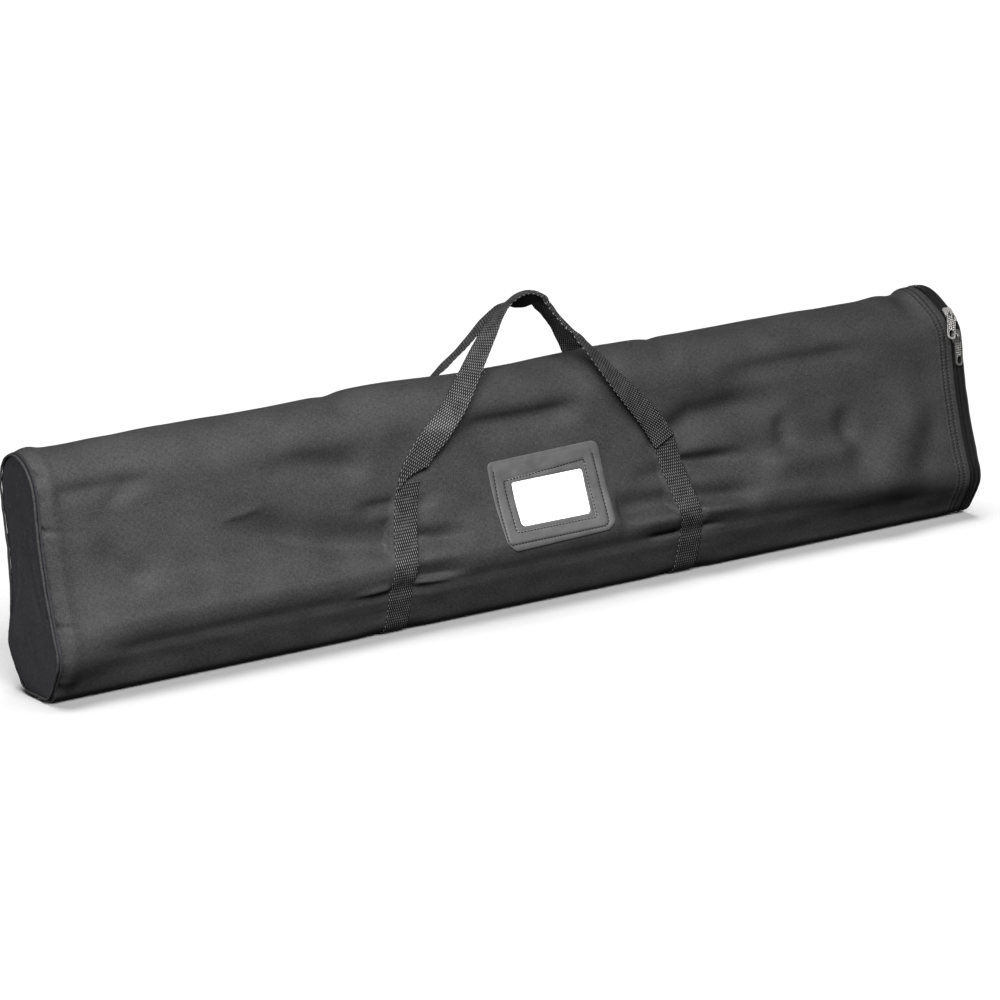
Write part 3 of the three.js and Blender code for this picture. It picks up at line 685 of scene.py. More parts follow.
def vinyl_material():
    """Soft vinyl with a fine pebble grain, a little worn and dusty."""
    nodes = Nodes("vinyl")
    place, _ = nodes.place()
    grain = nodes.noise(place, 1.5, 4, 0.65)
    dust = nodes.noise(place, 0.06, 3, 0.6)
    tone = nodes.math("MULTIPLY_ADD", grain, 0.35, nodes.math("MULTIPLY", dust, 0.65))
    color = nodes.ramp(tone, [(0.3, grey(0.05)), (0.7, grey(0.082))])
    roughness = nodes.math("MULTIPLY_ADD", dust, 0.25, 0.38)
    return nodes.finish(color, roughness, nodes.bump(grain, 0.1 * MM, 0.6), Specular_IOR_Level=0.15)


def nickel_material():
    """Die-cast nickel plate: bright, with a faint mottle; a pull's sunken ground gets a darker metal, painted
    shade.
    """
    nodes = Nodes("nickel")
    place = nodes.object_place()
    mottle = nodes.noise(place, 0.8, 4, 0.6)
    scuffs = nodes.noise(place, 4.0, 2, 0.5)
    color = nodes.ramp(mottle, [(0.3, (0.46, 0.45, 0.43)), (0.65, (0.8, 0.79, 0.77))])
    roughness = nodes.math("MULTIPLY_ADD", scuffs, 0.25, 0.28)
    return nodes.finish(color, roughness, nodes.bump(mottle, 0.05 * MM, 0.5), Metallic=1.0)


def coil_material():
    nodes = Nodes("coil")
    sheen = nodes.noise(nodes.object_place(), 1.0, 2, 0.5)
    color = nodes.ramp(sheen, [(0.3, grey(0.006)), (0.7, grey(0.016))])
    return nodes.finish(color, nodes.math("MULTIPLY_ADD", sheen, 0.2, 0.36), None, Specular_IOR_Level=0.3)


def film_material():
    nodes = Nodes("film")
    ripple = nodes.noise(nodes.object_place(), 0.05, 2, 0.5)
    roughness = nodes.math("MULTIPLY_ADD", ripple, 0.08, 0.05)
    return nodes.finish(
        (1.0, 1.0, 1.0, 1.0), roughness, nodes.bump(ripple, 0.4 * MM, 0.3), Alpha=0.12, Specular_IOR_Level=0.5
    )


cloth = cloth_material("cloth", 0.0185, 0.041, sewn_rows=[HEM_X - row for row in HEM_ROWS])
end_cloth = cloth_material("end_cloth", 0.0165, 0.032, 0.1)
webbing = webbing_material()
tape = ribbed_material("tape", 0.003, 0.01)
binding = ribbed_material("binding", 0.012, 0.03)
lining = lining_material()
foam = mottled_material("foam", (1.4, 4, 0.7), grey(0.03), grey(0.075), 0.9, (0.3 * MM, 0.8))
vinyl = vinyl_material()
thread = mottled_material(
    "thread", (2.5, 2, 0.5), grey(0.004), grey(0.01), 0.6, (0.05 * MM, 0.7), Specular_IOR_Level=0.1
)
nickel = nickel_material()
painted_ground_shade = mottled_material(  # a pull's sunken ground between its knurls, painted darker: painted shade
    "painted_ground_shade", (1.2, 3, 0.6), (0.035, 0.034, 0.032), (0.08, 0.078, 0.075), 0.6, (0.05 * MM, 0.5), Metallic=0.6
)
coil = coil_material()
card = mottled_material("card", (1.0, 4, 0.6), grey(0.93), grey(0.97), 0.6, (0.03 * MM, 0.4))
film = film_material()


# ---- The sleeve ----
def tube_piece(name, xs, step, relief, out, material, thickness, node):
    """A closed tube of cloth round the section at the given places along the bag."""
    girths = whole_girth(step)
    x, girth = np.meshgrid(xs, girths, indexing="ij")
    points = on_cloth(x, girth, out, relief)
    faces = grid_faces(len(xs), len(girths), close_columns=True)
    return make_layer(name, points, faces, material, "bag", (x, girth), thickness, node)


def inner_band(name, xs, depths, step, node):
    """A tape round the inside, at a depth under the cloth for each place along the bag."""
    girths = whole_girth(step)
    x, girth = np.meshgrid(xs, girths, indexing="ij")
    points = on_cloth(x, girth, -depths[:, None], body_relief)
    faces = turned_over(grid_faces(len(xs), len(girths), close_columns=True))
    make_layer(name, points, faces, binding, "bag", (girth, x), 0.5 * MM, node, 1)


def whole_girth(step):
    count = int(2 * HALF_GIRTH / step)
    return np.linspace(-HALF_GIRTH, HALF_GIRTH, count, endpoint=False)


def make_sleeve():
    zones = [(SLEEVE_START, SLEEVE_START + 24 * MM, 1.1 * MM), (HEM_X - 22 * MM, HEM_X, 1.0 * MM)]
    for side in (-1, 1):
        middle = float(strap_x(side, HIP_HEIGHT + 30 * MM))
        zones.append((middle - 34 * MM, middle + 34 * MM, 1.6 * MM))
    xs = spaced(SLEEVE_START, HEM_X, 2.8 * MM, zones)
    tube_piece("sleeve_cloth", xs, 2.5 * MM, cloth_relief, 0, cloth, CLOTH, "main_panel")


def make_inner_layers():
    gap = 0.3 * MM
    ease = 1.2 * MM  # so much of the foam's thickness is left to its soft fill
    foam_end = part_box("main_padding")[1].x
    foam_thick = 4 * MM
    xs = spaced(SLEEVE_START + 11 * MM, foam_end, 5 * MM)

    def pad_relief(x, girth):
        return np.minimum(body_relief(x, girth), cloth_relief(x, girth) + 0.4 * MM)

    def lining_relief(x, girth):
        return pad_relief(x, girth) - 0.35 * MM * (1 + waves(x, girth, 40 * MM, 51, 1.5))

    out = -CLOTH - gap - ease
    thick = foam_thick - ease
    pad = tube_piece("sleeve_padding", xs, 4 * MM, pad_relief, out, foam, thick, "main_padding")
    out = -(CLOTH + foam_thick + 3 * gap)
    tube_piece("sleeve_lining", xs, 5 * MM, lining_relief, out, lining, 0.5 * MM, "main_lining")


def make_facing():
    """The band inside the mouth: from under the hem's edge in over the foam's end to the lining."""
    steps = np.array([(0.4, 1.3), (3, 2.2), (8, 2.6), (11.5, 3.6), (13.5, 6.0), (16, 6.9), (24, 7.0)]) * MM
    inner_band("mouth_binding", HEM_X - steps[:, 0], steps[:, 1], 3.5 * MM, "mouth_facing")


def make_underside_seam():
    """The tape over the lengthwise seam, arched across."""
    low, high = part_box("underside_seam_binding")
    thickness = 0.8 * MM
    xs = spaced(low.x, high.x, 6 * MM)
    across = np.linspace(low.y, high.y, 7)
    x, y = np.meshgrid(xs, across, indexing="ij")
    arch = 1 - (y / high.y) ** 4
    z = high.z - thickness + thickness * arch + 0.12 * MM * waves(x, y, 20 * MM, 61)
    points, faces = np.stack([x, y, z], axis=-1), grid_faces(len(xs), len(across))
    node = "underside_seam_binding"
    make_layer("underside_binding", points, faces, binding, "bag", (y, x), thickness, node)


# ---- Stitches ----
def stitches(name, centres, directions, normals, length, width, body):
    """Short raised threads, tapered at their ends, sunk a little into what they hold."""
    sides, rings = 6, ((-0.5, 0.15), (-0.36, 0.8), (0, 1.0), (0.36, 0.8), (0.5, 0.15))
    ring_faces = grid_faces(len(rings), sides, close_columns=True)
    last = (len(rings) - 1) * sides
    ring_faces += [list(range(sides - 1, -1, -1)), list(range(last, last + sides))]
    vertices, faces = [], []
    for centre, direction, normal in zip(centres, directions, normals):
        along = Vector(direction).normalized()
        out = Vector(normal).normalized()
        aside = along.cross(out).normalized()
        start = len(vertices)
        for place, swell in rings:
            arch = (1 - 4 * place * place) * 0.5 * width
            middle = Vector(centre) + along * (place * length) + out * arch
            for step in range(sides):
                angle = 2 * math.pi * step / sides
                spoke = aside * math.cos(angle) + out * math.sin(angle)
                vertices.append(middle + spoke * (swell * width / 2))
        faces += [[start + corner for corner in face] for face in ring_faces]
    return make_object(name, vertices, faces, thread, body)


def stitch_path(path, pitch):
    """Centres, directions and shares of the way, at every pitch along a path of points."""
    path = np.asarray(path, float)
    reach = reach_along(path)
    places = np.arange(pitch / 2, reach[-1], pitch)
    start, end = (resample(places + shift, reach, path) for shift in (-0.3 * pitch, 0.3 * pitch))
    return (start + end) / 2, end - start, places / reach[-1]


def section_normals(girth):
    _, _, normal_y, normal_z = section_at(girth)
    return np.stack([0 * normal_y, normal_y, normal_z], axis=-1)


def stitches_round(name, path, length, width):
    """Stitches along a path that goes once round the section, from the ridge to the ridge."""
    centres, directions, shares = stitch_path(path, STITCH_PITCH)
    normals = section_normals((2 * shares - 1) * HALF_GIRTH)
    stitches(name, centres, directions, normals, length, width, "bag")


def make_sleeve_stitches():
    girths = np.linspace(-HALF_GIRTH, HALF_GIRTH, 1600)
    for number, row in enumerate(HEM_ROWS):
        path = on_cloth(HEM_X - row, girths, -0.12 * MM)
        stitches_round(f"hem_stitches_{number + 1}", path, 2.4 * MM, 0.75 * MM)
    xs = np.linspace(SLEEVE_START + 6 * MM, HEM_X - 20 * MM, 800)
    centres, directions, _ = stitch_path(on_cloth(xs, 3 * MM, -0.1 * MM), 4.2 * MM)
    downward = np.tile([0.0, 0.0, -1.0], (len(centres), 1))
    stitches("underside_stitches", centres, directions, downward, 2.8 * MM, 0.5 * MM, "bag")


# ---- The two end panels ----
PANEL_MIDDLE = 108 * MM  # the height that an end panel's rings are drawn in to


def disc_ring(share, inset, girths, x):
    """The seam's ring of points, drawn in to a share of its size."""
    y, z, normal_y, normal_z = section_at(girths)
    out = waist_relief(x, girths) - inset
    ring_y = (y + normal_y * out) * share
    ring_z = PANEL_MIDDLE + (z + normal_z * out - PANEL_MIDDLE) * share
    return np.stack([x + 0 * ring_y, ring_y, SLEEVE_BASE + ring_z], axis=-1)


def panel_depth(share, girths, swell, seed):
    """How far a panel stands out: fuller at the bottom and at its front corner, gathered at its seam."""
    y, height, _, _ = section_at(girths)
    low = 1 - smooth(60 * MM, 170 * MM, PANEL_MIDDLE + (height - PANEL_MIDDLE) * share)
    full = swell * (0.35 + 0.65 * low) * (1 - share**4)
    corner = smooth(70 * MM, 34 * MM, height * share) * smooth(-12 * MM, 24 * MM, y * share)
    full = full + 0.8 * swell * corner * smooth(0.4, 0.86, share) * (1 - smooth(0.9, 1.0, share))
    gathers = 0.22 * MM * waves(0 * girths, girths, 30 * MM, seed)
    gathers = gathers * smooth(0.75, 0.97, share) * (1 - share**14)
    lumps = 0.8 * MM * waves(PANEL_MIDDLE * share + 0 * girths, girths * share, 70 * MM, seed + 1)
    roll = -0.9 * MM * smooth(0.965, 1.0, share)
    return full + gathers + lumps * (1 - share**3) * smooth(0, 0.3, share) + roll


def end_panel(name, face_x, outward, body, seed, inset, swell, node):
    """A soft end panel: rings that are close together at its seam, in to its middle."""
    girths = whole_girth(3 * MM)
    shares = np.concatenate([1 - np.linspace(0, 1, 9) ** 1.6 * 0.12, np.linspace(0.85, 0, 26)])
    points = np.array([
        disc_ring(share, inset, girths, face_x + outward * panel_depth(share, girths, swell, seed))
        for share in shares
    ])
    faces = grid_faces(len(shares), len(girths), close_columns=True)
    if outward > 0:
        faces = turned_over(faces)
    x, y, z = np.moveaxis(points, -1, 0)
    make_layer(name, points, faces, end_cloth, body, (y, z, x), CLOTH, node)


def seam_lip(name, x, out, radius, body, material, seed=71):
    """A rolled seam that runs round the section, a little uneven."""
    girths = whole_girth(2.4 * MM)
    sides = 8
    angles = (np.arange(sides) * 2 * math.pi / sides)[:, None]
    wobble = 1 + 0.16 * waves(0 * girths, girths, 16 * MM, seed)
    shift = 0.25 * MM * waves(0 * girths, girths, 30 * MM, seed + 1)
    rolled_x = x + shift + radius * wobble * np.cos(angles)
    rolled_out = out + radius * wobble * np.sin(angles)
    points = on_cloth(rolled_x, girths, rolled_out, waist_relief)
    faces = turned_over(grid_faces(sides, len(girths), close_rows=True, close_columns=True))
    piece = make_object(name, points, faces, material, body)
    set_place(piece, angles * radius, girths)


def make_closed_end():
    end_panel("closed_end_cloth", CLOSED_X + 0.6 * MM, -1, "bag", 81, 0.6 * MM, 3.6 * MM, "closed_end_panel")
    seam_lip("closed_end_seam", SLEEVE_START - 3.4 * MM, -2.6 * MM, 1.3 * MM, "bag", cloth)
    cord_x = SLEEVE_START - 1.1 * MM
    seam_lip("closed_end_cord", cord_x, -3.6 * MM, 1.1 * MM, "bag", thread, seed=75)
    path = on_cloth(SLEEVE_START - 0.5 * MM, whole_girth(1.5 * MM), -2.6 * MM, waist_relief)
    stitches_round("closed_end_stitches", np.vstack([path, path[:1]]), 2.6 * MM, 0.7 * MM)
    flat_panel("closed_end_pad", "closed_end_padding", 6.4 * MM, "bag", foam)
    flat_panel("closed_end_inner", "closed_end_lining", 6.4 * MM, "bag", lining)
    low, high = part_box("closed_end_binding")
    depths = np.array([6.6, 7.1, 7.3, 7.1, 6.6]) * MM
    xs = np.linspace(low.x, high.x, len(depths))
    inner_band("closed_end_inner_binding", xs, depths, 4 * MM, "closed_end_binding")


def flat_panel(name, node, inset, body, material):
    """A closed soft layer across the section, rounded at its rim."""
    low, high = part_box(node)
    girths = whole_girth(5 * MM)
    rim = [(0.0, 0.0), (0.5, 0.0), (0.9, 0.0), (0.985, 0.06), (1.0, 0.3)]  # shares of the size, and the drop
    rings = []
    for side, order in ((-1, rim), (1, rim[::-1])):
        for share, drop in order:
            away = (high.x - low.x) / 2 * (1 - drop) - 0.12 * MM * share**6
            rings.append(disc_ring(share, inset, girths, (low.x + high.x) / 2 + side * away))
    points = np.array(rings)
    x, y, z = np.moveaxis(points, -1, 0)
    faces = grid_faces(len(rings), len(girths), close_columns=True)
    piece = make_object(name, points, faces, material, body)
    set_place(piece, y, z, x)
    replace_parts(piece, node)


def make_flap():
    end_panel("flap_cloth", FLAP_X + 0.2 * MM, 1, "end_flap", 91, 0.5 * MM, 0.8 * MM, "flap_panel")
    seam_lip("flap_seam", FLAP_X - 0.1 * MM, -0.4 * MM, 0.8 * MM, "end_flap", end_cloth, seed=95)
    flat_panel("flap_pad", "flap_padding", 4.4 * MM, "end_flap", foam)
    flat_panel("flap_inner", "flap_lining", 4.3 * MM, "end_flap", lining)


# ---- The zip ----
TAPE_DEPTH = 1.2 * MM
TAPE_THICK = 0.5 * MM
TAPE_END = girth_at(KEEL_RADIUS * (1 - math.cos(10 * DEGREE)))
COIL_END = girth_at(KEEL_RADIUS * (1 - math.cos(21 * DEGREE)))
COIL_PITCH = 1.75 * MM
COIL_WIRE = 0.42 * MM
COIL_HALF_WIDTH = 1.75 * MM
COIL_HALF_HEIGHT = 1.1 * MM


def over_top(step, start):
    """Girths from the front's lower end over the ridge to the rear's."""
    up = np.linspace(-start, -HALF_GIRTH, int((HALF_GIRTH - start) / step))
    return np.concatenate([up, -up[::-1][1:]])


def zip_tape(name, xs, body, node):
    """A flat tape over the top of the bag."""
    girths = over_top(2.5 * MM, TAPE_END)
    x, girth = np.meshgrid(xs, girths, indexing="ij")
    points = on_cloth(x, girth, -TAPE_DEPTH, None)
    reach = np.concatenate([[0], np.cumsum(np.abs(np.diff(girths)))])
    faces = grid_faces(len(xs), len(girths))
    make_layer(name, points, faces, tape, body, (x, reach), TAPE_THICK, node)


def zip_coil(name, middle_x, turn, shift, body, node):
    """A wound nylon coil sewn along the tape's edge: one helix of wire over the top of the bag."""
    steps, sides = 10, 5
    count = int(2 * (HALF_GIRTH - COIL_END) / COIL_PITCH) * steps
    reach = COIL_END + np.arange(count + 1) / steps * COIL_PITCH + shift
    girth = np.where(reach <= HALF_GIRTH, -reach, 2 * HALF_GIRTH - reach)
    angle = turn * np.arange(count + 1) * 2 * math.pi / steps
    x = middle_x + (COIL_HALF_WIDTH - COIL_WIRE / 2) * np.cos(angle)
    middle_out = -TAPE_DEPTH + 0.3 * MM + COIL_HALF_HEIGHT
    centres = on_cloth(x, girth, middle_out + (COIL_HALF_HEIGHT - COIL_WIRE / 2) * np.sin(angle), None)
    tangents = unit(np.gradient(centres, axis=0))
    first = unit(np.cross(tangents, section_normals(girth) + [0.01, 0, 0]))
    second = np.cross(tangents, first)
    points = np.stack([
        centres + COIL_WIRE / 2 * (math.cos(spoke) * first + math.sin(spoke) * second)
        for spoke in np.arange(sides) * 2 * math.pi / sides
    ], axis=1)
    faces = grid_faces(count + 1, sides, close_columns=True)
    faces.append(tuple(range(sides)))
    faces.append(tuple(range(count * sides + sides - 1, count * sides - 1, -1)))
    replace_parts(make_object(name, points, faces, coil, body), node)


def make_zip():
    body_xs = np.linspace(HEM_X - 7 * MM, ZIP_X - 0.6 * MM, 7)
    flap_xs = np.linspace(ZIP_X + 0.6 * MM, FLAP_X - 0.3 * MM, 5)
    zip_tape("zip_tape_sleeve_side", body_xs, "bag", "zip_tape_body")
    zip_tape("zip_tape_flap_side", flap_xs, "end_flap", "zip_tape_flap")
    offset = COIL_HALF_WIDTH + 0.35 * MM  # the halves stop short of each other
    zip_coil("zip_coil_sleeve_side", ZIP_X - offset, 1, 0, "bag", "zip_coil_body")
    zip_coil("zip_coil_flap_side", ZIP_X + offset, -1, COIL_PITCH / 2, "end_flap", "zip_coil_flap")
    # A row of lock stitches holds each coil on its tape.
    girths = over_top(1.5 * MM, COIL_END)
    middles = np.abs(girths[:-1] + girths[1:]) / 2
    for name, side, body in (("sleeve", -1, "bag"), ("flap", 1, "end_flap")):
        path = on_cloth(ZIP_X + side * 3.1 * MM, girths, 1.9 * MM - TAPE_DEPTH, None)
        centres, directions, shares = stitch_path(path, COIL_PITCH)
        sizes = np.interp(shares, np.linspace(0, 1, len(middles)), middles)
        normals = section_normals(sizes * np.where(shares < 0.5, -1, 1))
        stitches(f"zip_coil_stitches_{name}", centres, directions, normals, 1.5 * MM, 0.34 * MM, body)


def round_edges(piece, width):
    modifier = piece.modifiers.new("rounding", "BEVEL")
    modifier.width = width
    modifier.segments = 2
    modifier.limit_method = "ANGLE"
    return modifier


def finish_cad_node(name, material, bevel):
    """A CAD node that stays gets its material and a small rounding."""
    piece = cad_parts[name]
    piece.data.materials.clear()
    piece.data.materials.append(material)
    round_edges(piece, bevel)


# ---- Sliders and pulls ----
UPPER_SLIDER_ANGLE = 20 * DEGREE
# The mouth leans back under the upper slider, and its pull turns on a slanted line that doesn't lean.
# So this slider climbs and shifts along that line, and the pull's eye plays a little on the bridge.
UPPER_CLIMB = 5.2 * DEGREE
UPPER_SHIFT = Vector((1.9, 0, 0)) * MM
UPPER_PULL_SHIFT = Vector((2.5, 0.35, 0.98)) * MM
UPPER_PULL_TURN = 30 * DEGREE
LOWER_SLIDER_HEIGHT = 190 * MM


def seat(height=None, ridge_angle=None):
    """A frame on the front at the zip's middle: X along the bag, -Y out of the cloth, Z up along it."""
    if ridge_angle is None:
        tip = math.asin((HOLLOW_CENTRE[1] - height) / HOLLOW_RADIUS)
        y = HOLLOW_CENTRE[0] - HOLLOW_RADIUS * math.cos(tip)
        z = height
    else:
        tip = ridge_angle
        y = RIDGE_RADIUS * math.cos(tip)
        z = RIDGE_CENTRE[1] + RIDGE_RADIUS * math.sin(tip)
    return Matrix.Translation((ZIP_X, -y, SLEEVE_BASE + z)) @ Matrix.Rotation(-tip, 4, "X")


def outline_solid(outline, low_y, high_y, holes=()):
    """A flat plate as a bmesh: an outline in X and Z with through holes, from one Y to another."""
    mesh = bmesh.new()
    edges = []
    for loop in (outline, *holes):
        ring = [mesh.verts.new((x, low_y, z)) for x, z in loop]
        edges += [mesh.edges.new((ring[i], ring[(i + 1) % len(ring)])) for i in range(len(ring))]
    bmesh.ops.triangle_fill(mesh, use_beauty=True, use_dissolve=False, edges=edges)
    bmesh.ops.recalc_face_normals(mesh, faces=mesh.faces[:])
    made = bmesh.ops.extrude_face_region(mesh, geom=mesh.faces[:])
    moved = [item for item in made["geom"] if isinstance(item, bmesh.types.BMVert)]
    bmesh.ops.translate(mesh, verts=moved, vec=(0, high_y - low_y, 0))
    bmesh.ops.recalc_face_normals(mesh, faces=mesh.faces[:])
    return mesh


def rounded_outline(width, low, high, corner, narrow=1.0, steps=5):
    """A rounded rectangle in X and Z, its top narrowed by a factor."""
    half = width / 2
    corners = [(half, low, -90), (half * narrow, high, 0), (-half * narrow, high, 90), (-half, low, 180)]
    points = []
    for x, z, start in corners:
        centre_x = x - math.copysign(corner, x)
        centre_z = z + corner if z == low else z - corner
        for step in range(steps + 1):
            angle = (start + 90 * step / steps) * DEGREE
            points.append((centre_x + corner * math.cos(angle), centre_z + corner * math.sin(angle)))
    return points


def mesh_piece(name, parts, matrix, body, node, bevel):
    """One cast piece from several closed bmesh parts, with rounded edges."""
    joined = bmesh.new()
    for part in parts:
        temporary = bpy.data.meshes.new("part")
        part.to_mesh(temporary)
        joined.from_mesh(temporary)
        part.free()
        bpy.data.meshes.remove(temporary)
    joined.transform(matrix)
    for vertex in joined.verts:
        vertex.co = leant(vertex.co)[0]
    mesh = bpy.data.meshes.new(name)
    joined.to_mesh(mesh)
    joined.free()
    mesh.materials.append(nickel)
    mesh.shade_smooth()
    piece = add_object(name, mesh)
    modifier = round_edges(piece, bevel)
    modifier.angle_limit = 35 * DEGREE
    modifier.harden_normals = True
    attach(piece, body)
    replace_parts(piece, node)
    return piece


def box_part(low, high):
    mesh = bmesh.new()
    size = Vector(high) - Vector(low)
    middle = (Vector(high) + Vector(low)) / 2
    bmesh.ops.create_cube(mesh, size=1, matrix=Matrix.Translation(middle) @ Matrix.Diagonal((*size, 1)))
    return mesh


# Faces of a slider, out of the cloth; they are those of the CAD's sliders.
SLIDER_LENGTH = 15 * MM
SLIDER_WIDTH = 10.6 * MM
SLIDER_PLATE = 1.2 * MM
COIL_FACE = 1.3 * MM
SLIDER_FACE = COIL_FACE + 0.5 * MM + SLIDER_PLATE
SLIDER_UNDER = 2.7 * MM
BRIDGE_OPENING = 2.3 * MM
BRIDGE_LENGTH = 7.2 * MM
PIVOT_FACE = SLIDER_FACE + BRIDGE_OPENING / 2


def arch_line(reach, rise):
    """A line in X and Z from foot to foot of an arch that stands on the slider's face."""
    foot = 0.6 * MM - SLIDER_FACE
    line = [(-reach, foot)]
    for step in range(9):
        angle = math.pi * step / 8
        x = -reach * math.cos(angle) * (1 - 0.12 * math.sin(angle))
        line.append((x, -SLIDER_FACE - rise * math.sin(angle) ** 0.55))
    return [*line, (reach, foot)]


def make_slider(level, matrix, body, node):
    half = SLIDER_LENGTH / 2
    plate_low = SLIDER_PLATE - SLIDER_FACE
    plate = rounded_outline(SLIDER_WIDTH, -half, half, 2.6 * MM, 0.86)
    under = rounded_outline(SLIDER_WIDTH * 0.94, SLIDER_PLATE - half, half - SLIDER_PLATE, 2.4 * MM, 0.86)
    parts = [
        outline_solid(plate, -SLIDER_FACE, plate_low),
        outline_solid(under, SLIDER_UNDER, SLIDER_UNDER + SLIDER_PLATE),
    ]
    for side in (-1, 1):
        low_x, high_x = sorted((side * SLIDER_WIDTH / 2, side * (SLIDER_WIDTH / 2 - 0.8 * MM)))
        low = (low_x, -SLIDER_FACE + SLIDER_PLATE * 0.5, -half * 0.62)
        parts.append(box_part(low, (high_x, plate_low + 0.8 * MM, half * 0.55)))
    # The post between the two plates.
    foot = 0.6 * MM - SLIDER_FACE
    parts.append(box_part((-0.3 * MM, foot, -2.5 * MM), (0.3 * MM, SLIDER_UNDER + 0.6 * MM, 2.5 * MM)))
    # The bridge that holds the pull: an arch along the slider.
    outer = arch_line(BRIDGE_LENGTH / 2, BRIDGE_OPENING + SLIDER_PLATE)
    inner = arch_line(BRIDGE_LENGTH / 2 - 1.2 * MM, BRIDGE_OPENING)
    arch = outline_solid(outer + inner[::-1], -0.9 * MM, 0.9 * MM)
    # Its outline was drawn in X and Z: turn it to run along the slider, standing out of it.
    arch.transform(Matrix(((0, 1, 0, 0), (0, 0, 1, 0), (1, 0, 0, 0), (0, 0, 0, 1))))
    parts.append(arch)
    for part in parts:
        bmesh.ops.recalc_face_normals(part, faces=part.faces[:])
    mesh_piece(f"slider_{level}", parts, matrix, body, node, 0.25 * MM)


PULL_LENGTH = 31 * MM
PULL_WIDTH = 9 * MM
PULL_THICK = 1.4 * MM


KNURL_ROWS, KNURL_COLUMNS = 6, 3
KNURL_PITCH = 2.15 * MM


def make_pull(level, matrix, body, node):
    """A pull tab: a plate with an eye round the bridge, a knurled field and an oval hole at its end."""
    radius = PULL_WIDTH / 2
    top = 0.6 * MM
    low = top - PULL_LENGTH
    upper = [(radius * 0.5, top), (radius * 0.72, top - 0.5 * MM)]
    upper += [(radius * 0.94, -3 * MM), (radius, -8 * MM)]
    lower = []
    for step in range(15):
        angle = -math.pi * step / 14
        lower.append((radius * math.cos(angle), low + radius + radius * math.sin(angle)))
    outline = (upper + lower + [(-x, z) for x, z in upper[::-1]])[::-1]
    hole_low = low + 2 * MM
    eye = rounded_outline(5.4 * MM, -5.2 * MM, -0.6 * MM, 1.0 * MM, 1.0, 3)
    hole = rounded_outline(5 * MM, hole_low, hole_low + 8 * MM, 2.4 * MM)
    round_hole = rounded_outline(6.6 * MM, hole_low - 0.8 * MM, hole_low + 8.8 * MM, 3.2 * MM)
    inner = [(x * 0.80, -0.9 * MM + (z + 0.9 * MM) * 0.965) for x, z in outline]
    thin = PULL_THICK * 0.36
    field_top, field_low = -7.2 * MM, hole_low + 9.6 * MM
    parts = [outline_solid(outline, -thin, thin, (eye, hole))]
    ground = len(parts[0].faces)
    # On both faces a raised rim, the knurled studs between eye and hole, and a rim round the hole.
    for face in (-1, 1):
        levels = sorted((face * thin * 0.9, face * PULL_THICK / 2))
        parts.append(outline_solid(outline, *levels, (inner,)))
        for row in range(KNURL_ROWS):
            z = field_top + (field_low - field_top) * row / (KNURL_ROWS - 1)
            for column in range(KNURL_COLUMNS):
                x = (column - (KNURL_COLUMNS - 1) / 2) * KNURL_PITCH
                parts.append(stud(x, z, face, thin, PULL_THICK / 2 + 0.2 * MM))
        parts.append(outline_solid(round_hole, *levels, (hole,)))
    piece = mesh_piece(f"pull_{level}", parts, matrix, body, node, 0.18 * MM)
    # The pull's sunken ground between its rims and studs takes the darker metal: painted shade.
    piece.data.materials.append(painted_ground_shade)
    for polygon in piece.data.polygons[:ground]:
        polygon.material_index = 1


def stud(x, z, face, low, high):
    """One pyramid of the knurling."""
    mesh = bmesh.new()
    rings = []
    for half, level in ((0.84 * MM, low * 0.9), (0.4 * MM, high)):
        corners = ((-1, -1), (1, -1), (1, 1), (-1, 1))
        rings.append([mesh.verts.new((x + sx * half, face * level, z + sz * half)) for sx, sz in corners])
        mesh.faces.new(rings[-1])
    for index in range(4):
        beside = (index + 1) % 4
        mesh.faces.new((rings[0][index], rings[0][beside], rings[1][beside], rings[1][index]))
    bmesh.ops.recalc_face_normals(mesh, faces=mesh.faces[:])
    return mesh


def make_sliders():
    lower = seat(height=LOWER_SLIDER_HEIGHT)
    climbed = seat(ridge_angle=UPPER_SLIDER_ANGLE + UPPER_CLIMB)
    upper = Matrix.Translation(UPPER_SHIFT) @ climbed
    tip = math.asin((HOLLOW_CENTRE[1] - LOWER_SLIDER_HEIGHT) / HOLLOW_RADIUS)
    bar = Matrix.Translation((0, -PIVOT_FACE, 0))
    make_slider("lower", lower, "lower_slider", "zip_slider_lower")
    make_slider("upper", upper @ Matrix.Rotation(math.pi, 4, "Y"), "upper_slider", "zip_slider_upper")
    lower_pull = lower @ bar @ Matrix.Rotation(tip, 4, "X")
    upper_bar = Matrix.Translation(UPPER_PULL_SHIFT) @ climbed @ bar
    upper_pull = upper_bar @ Matrix.Rotation(UPPER_PULL_TURN, 4, "Y")
    make_pull("lower", lower_pull, "lower_pull", "zip_pull_lower")
    make_pull("upper", upper_pull, "upper_pull", "zip_pull_upper")


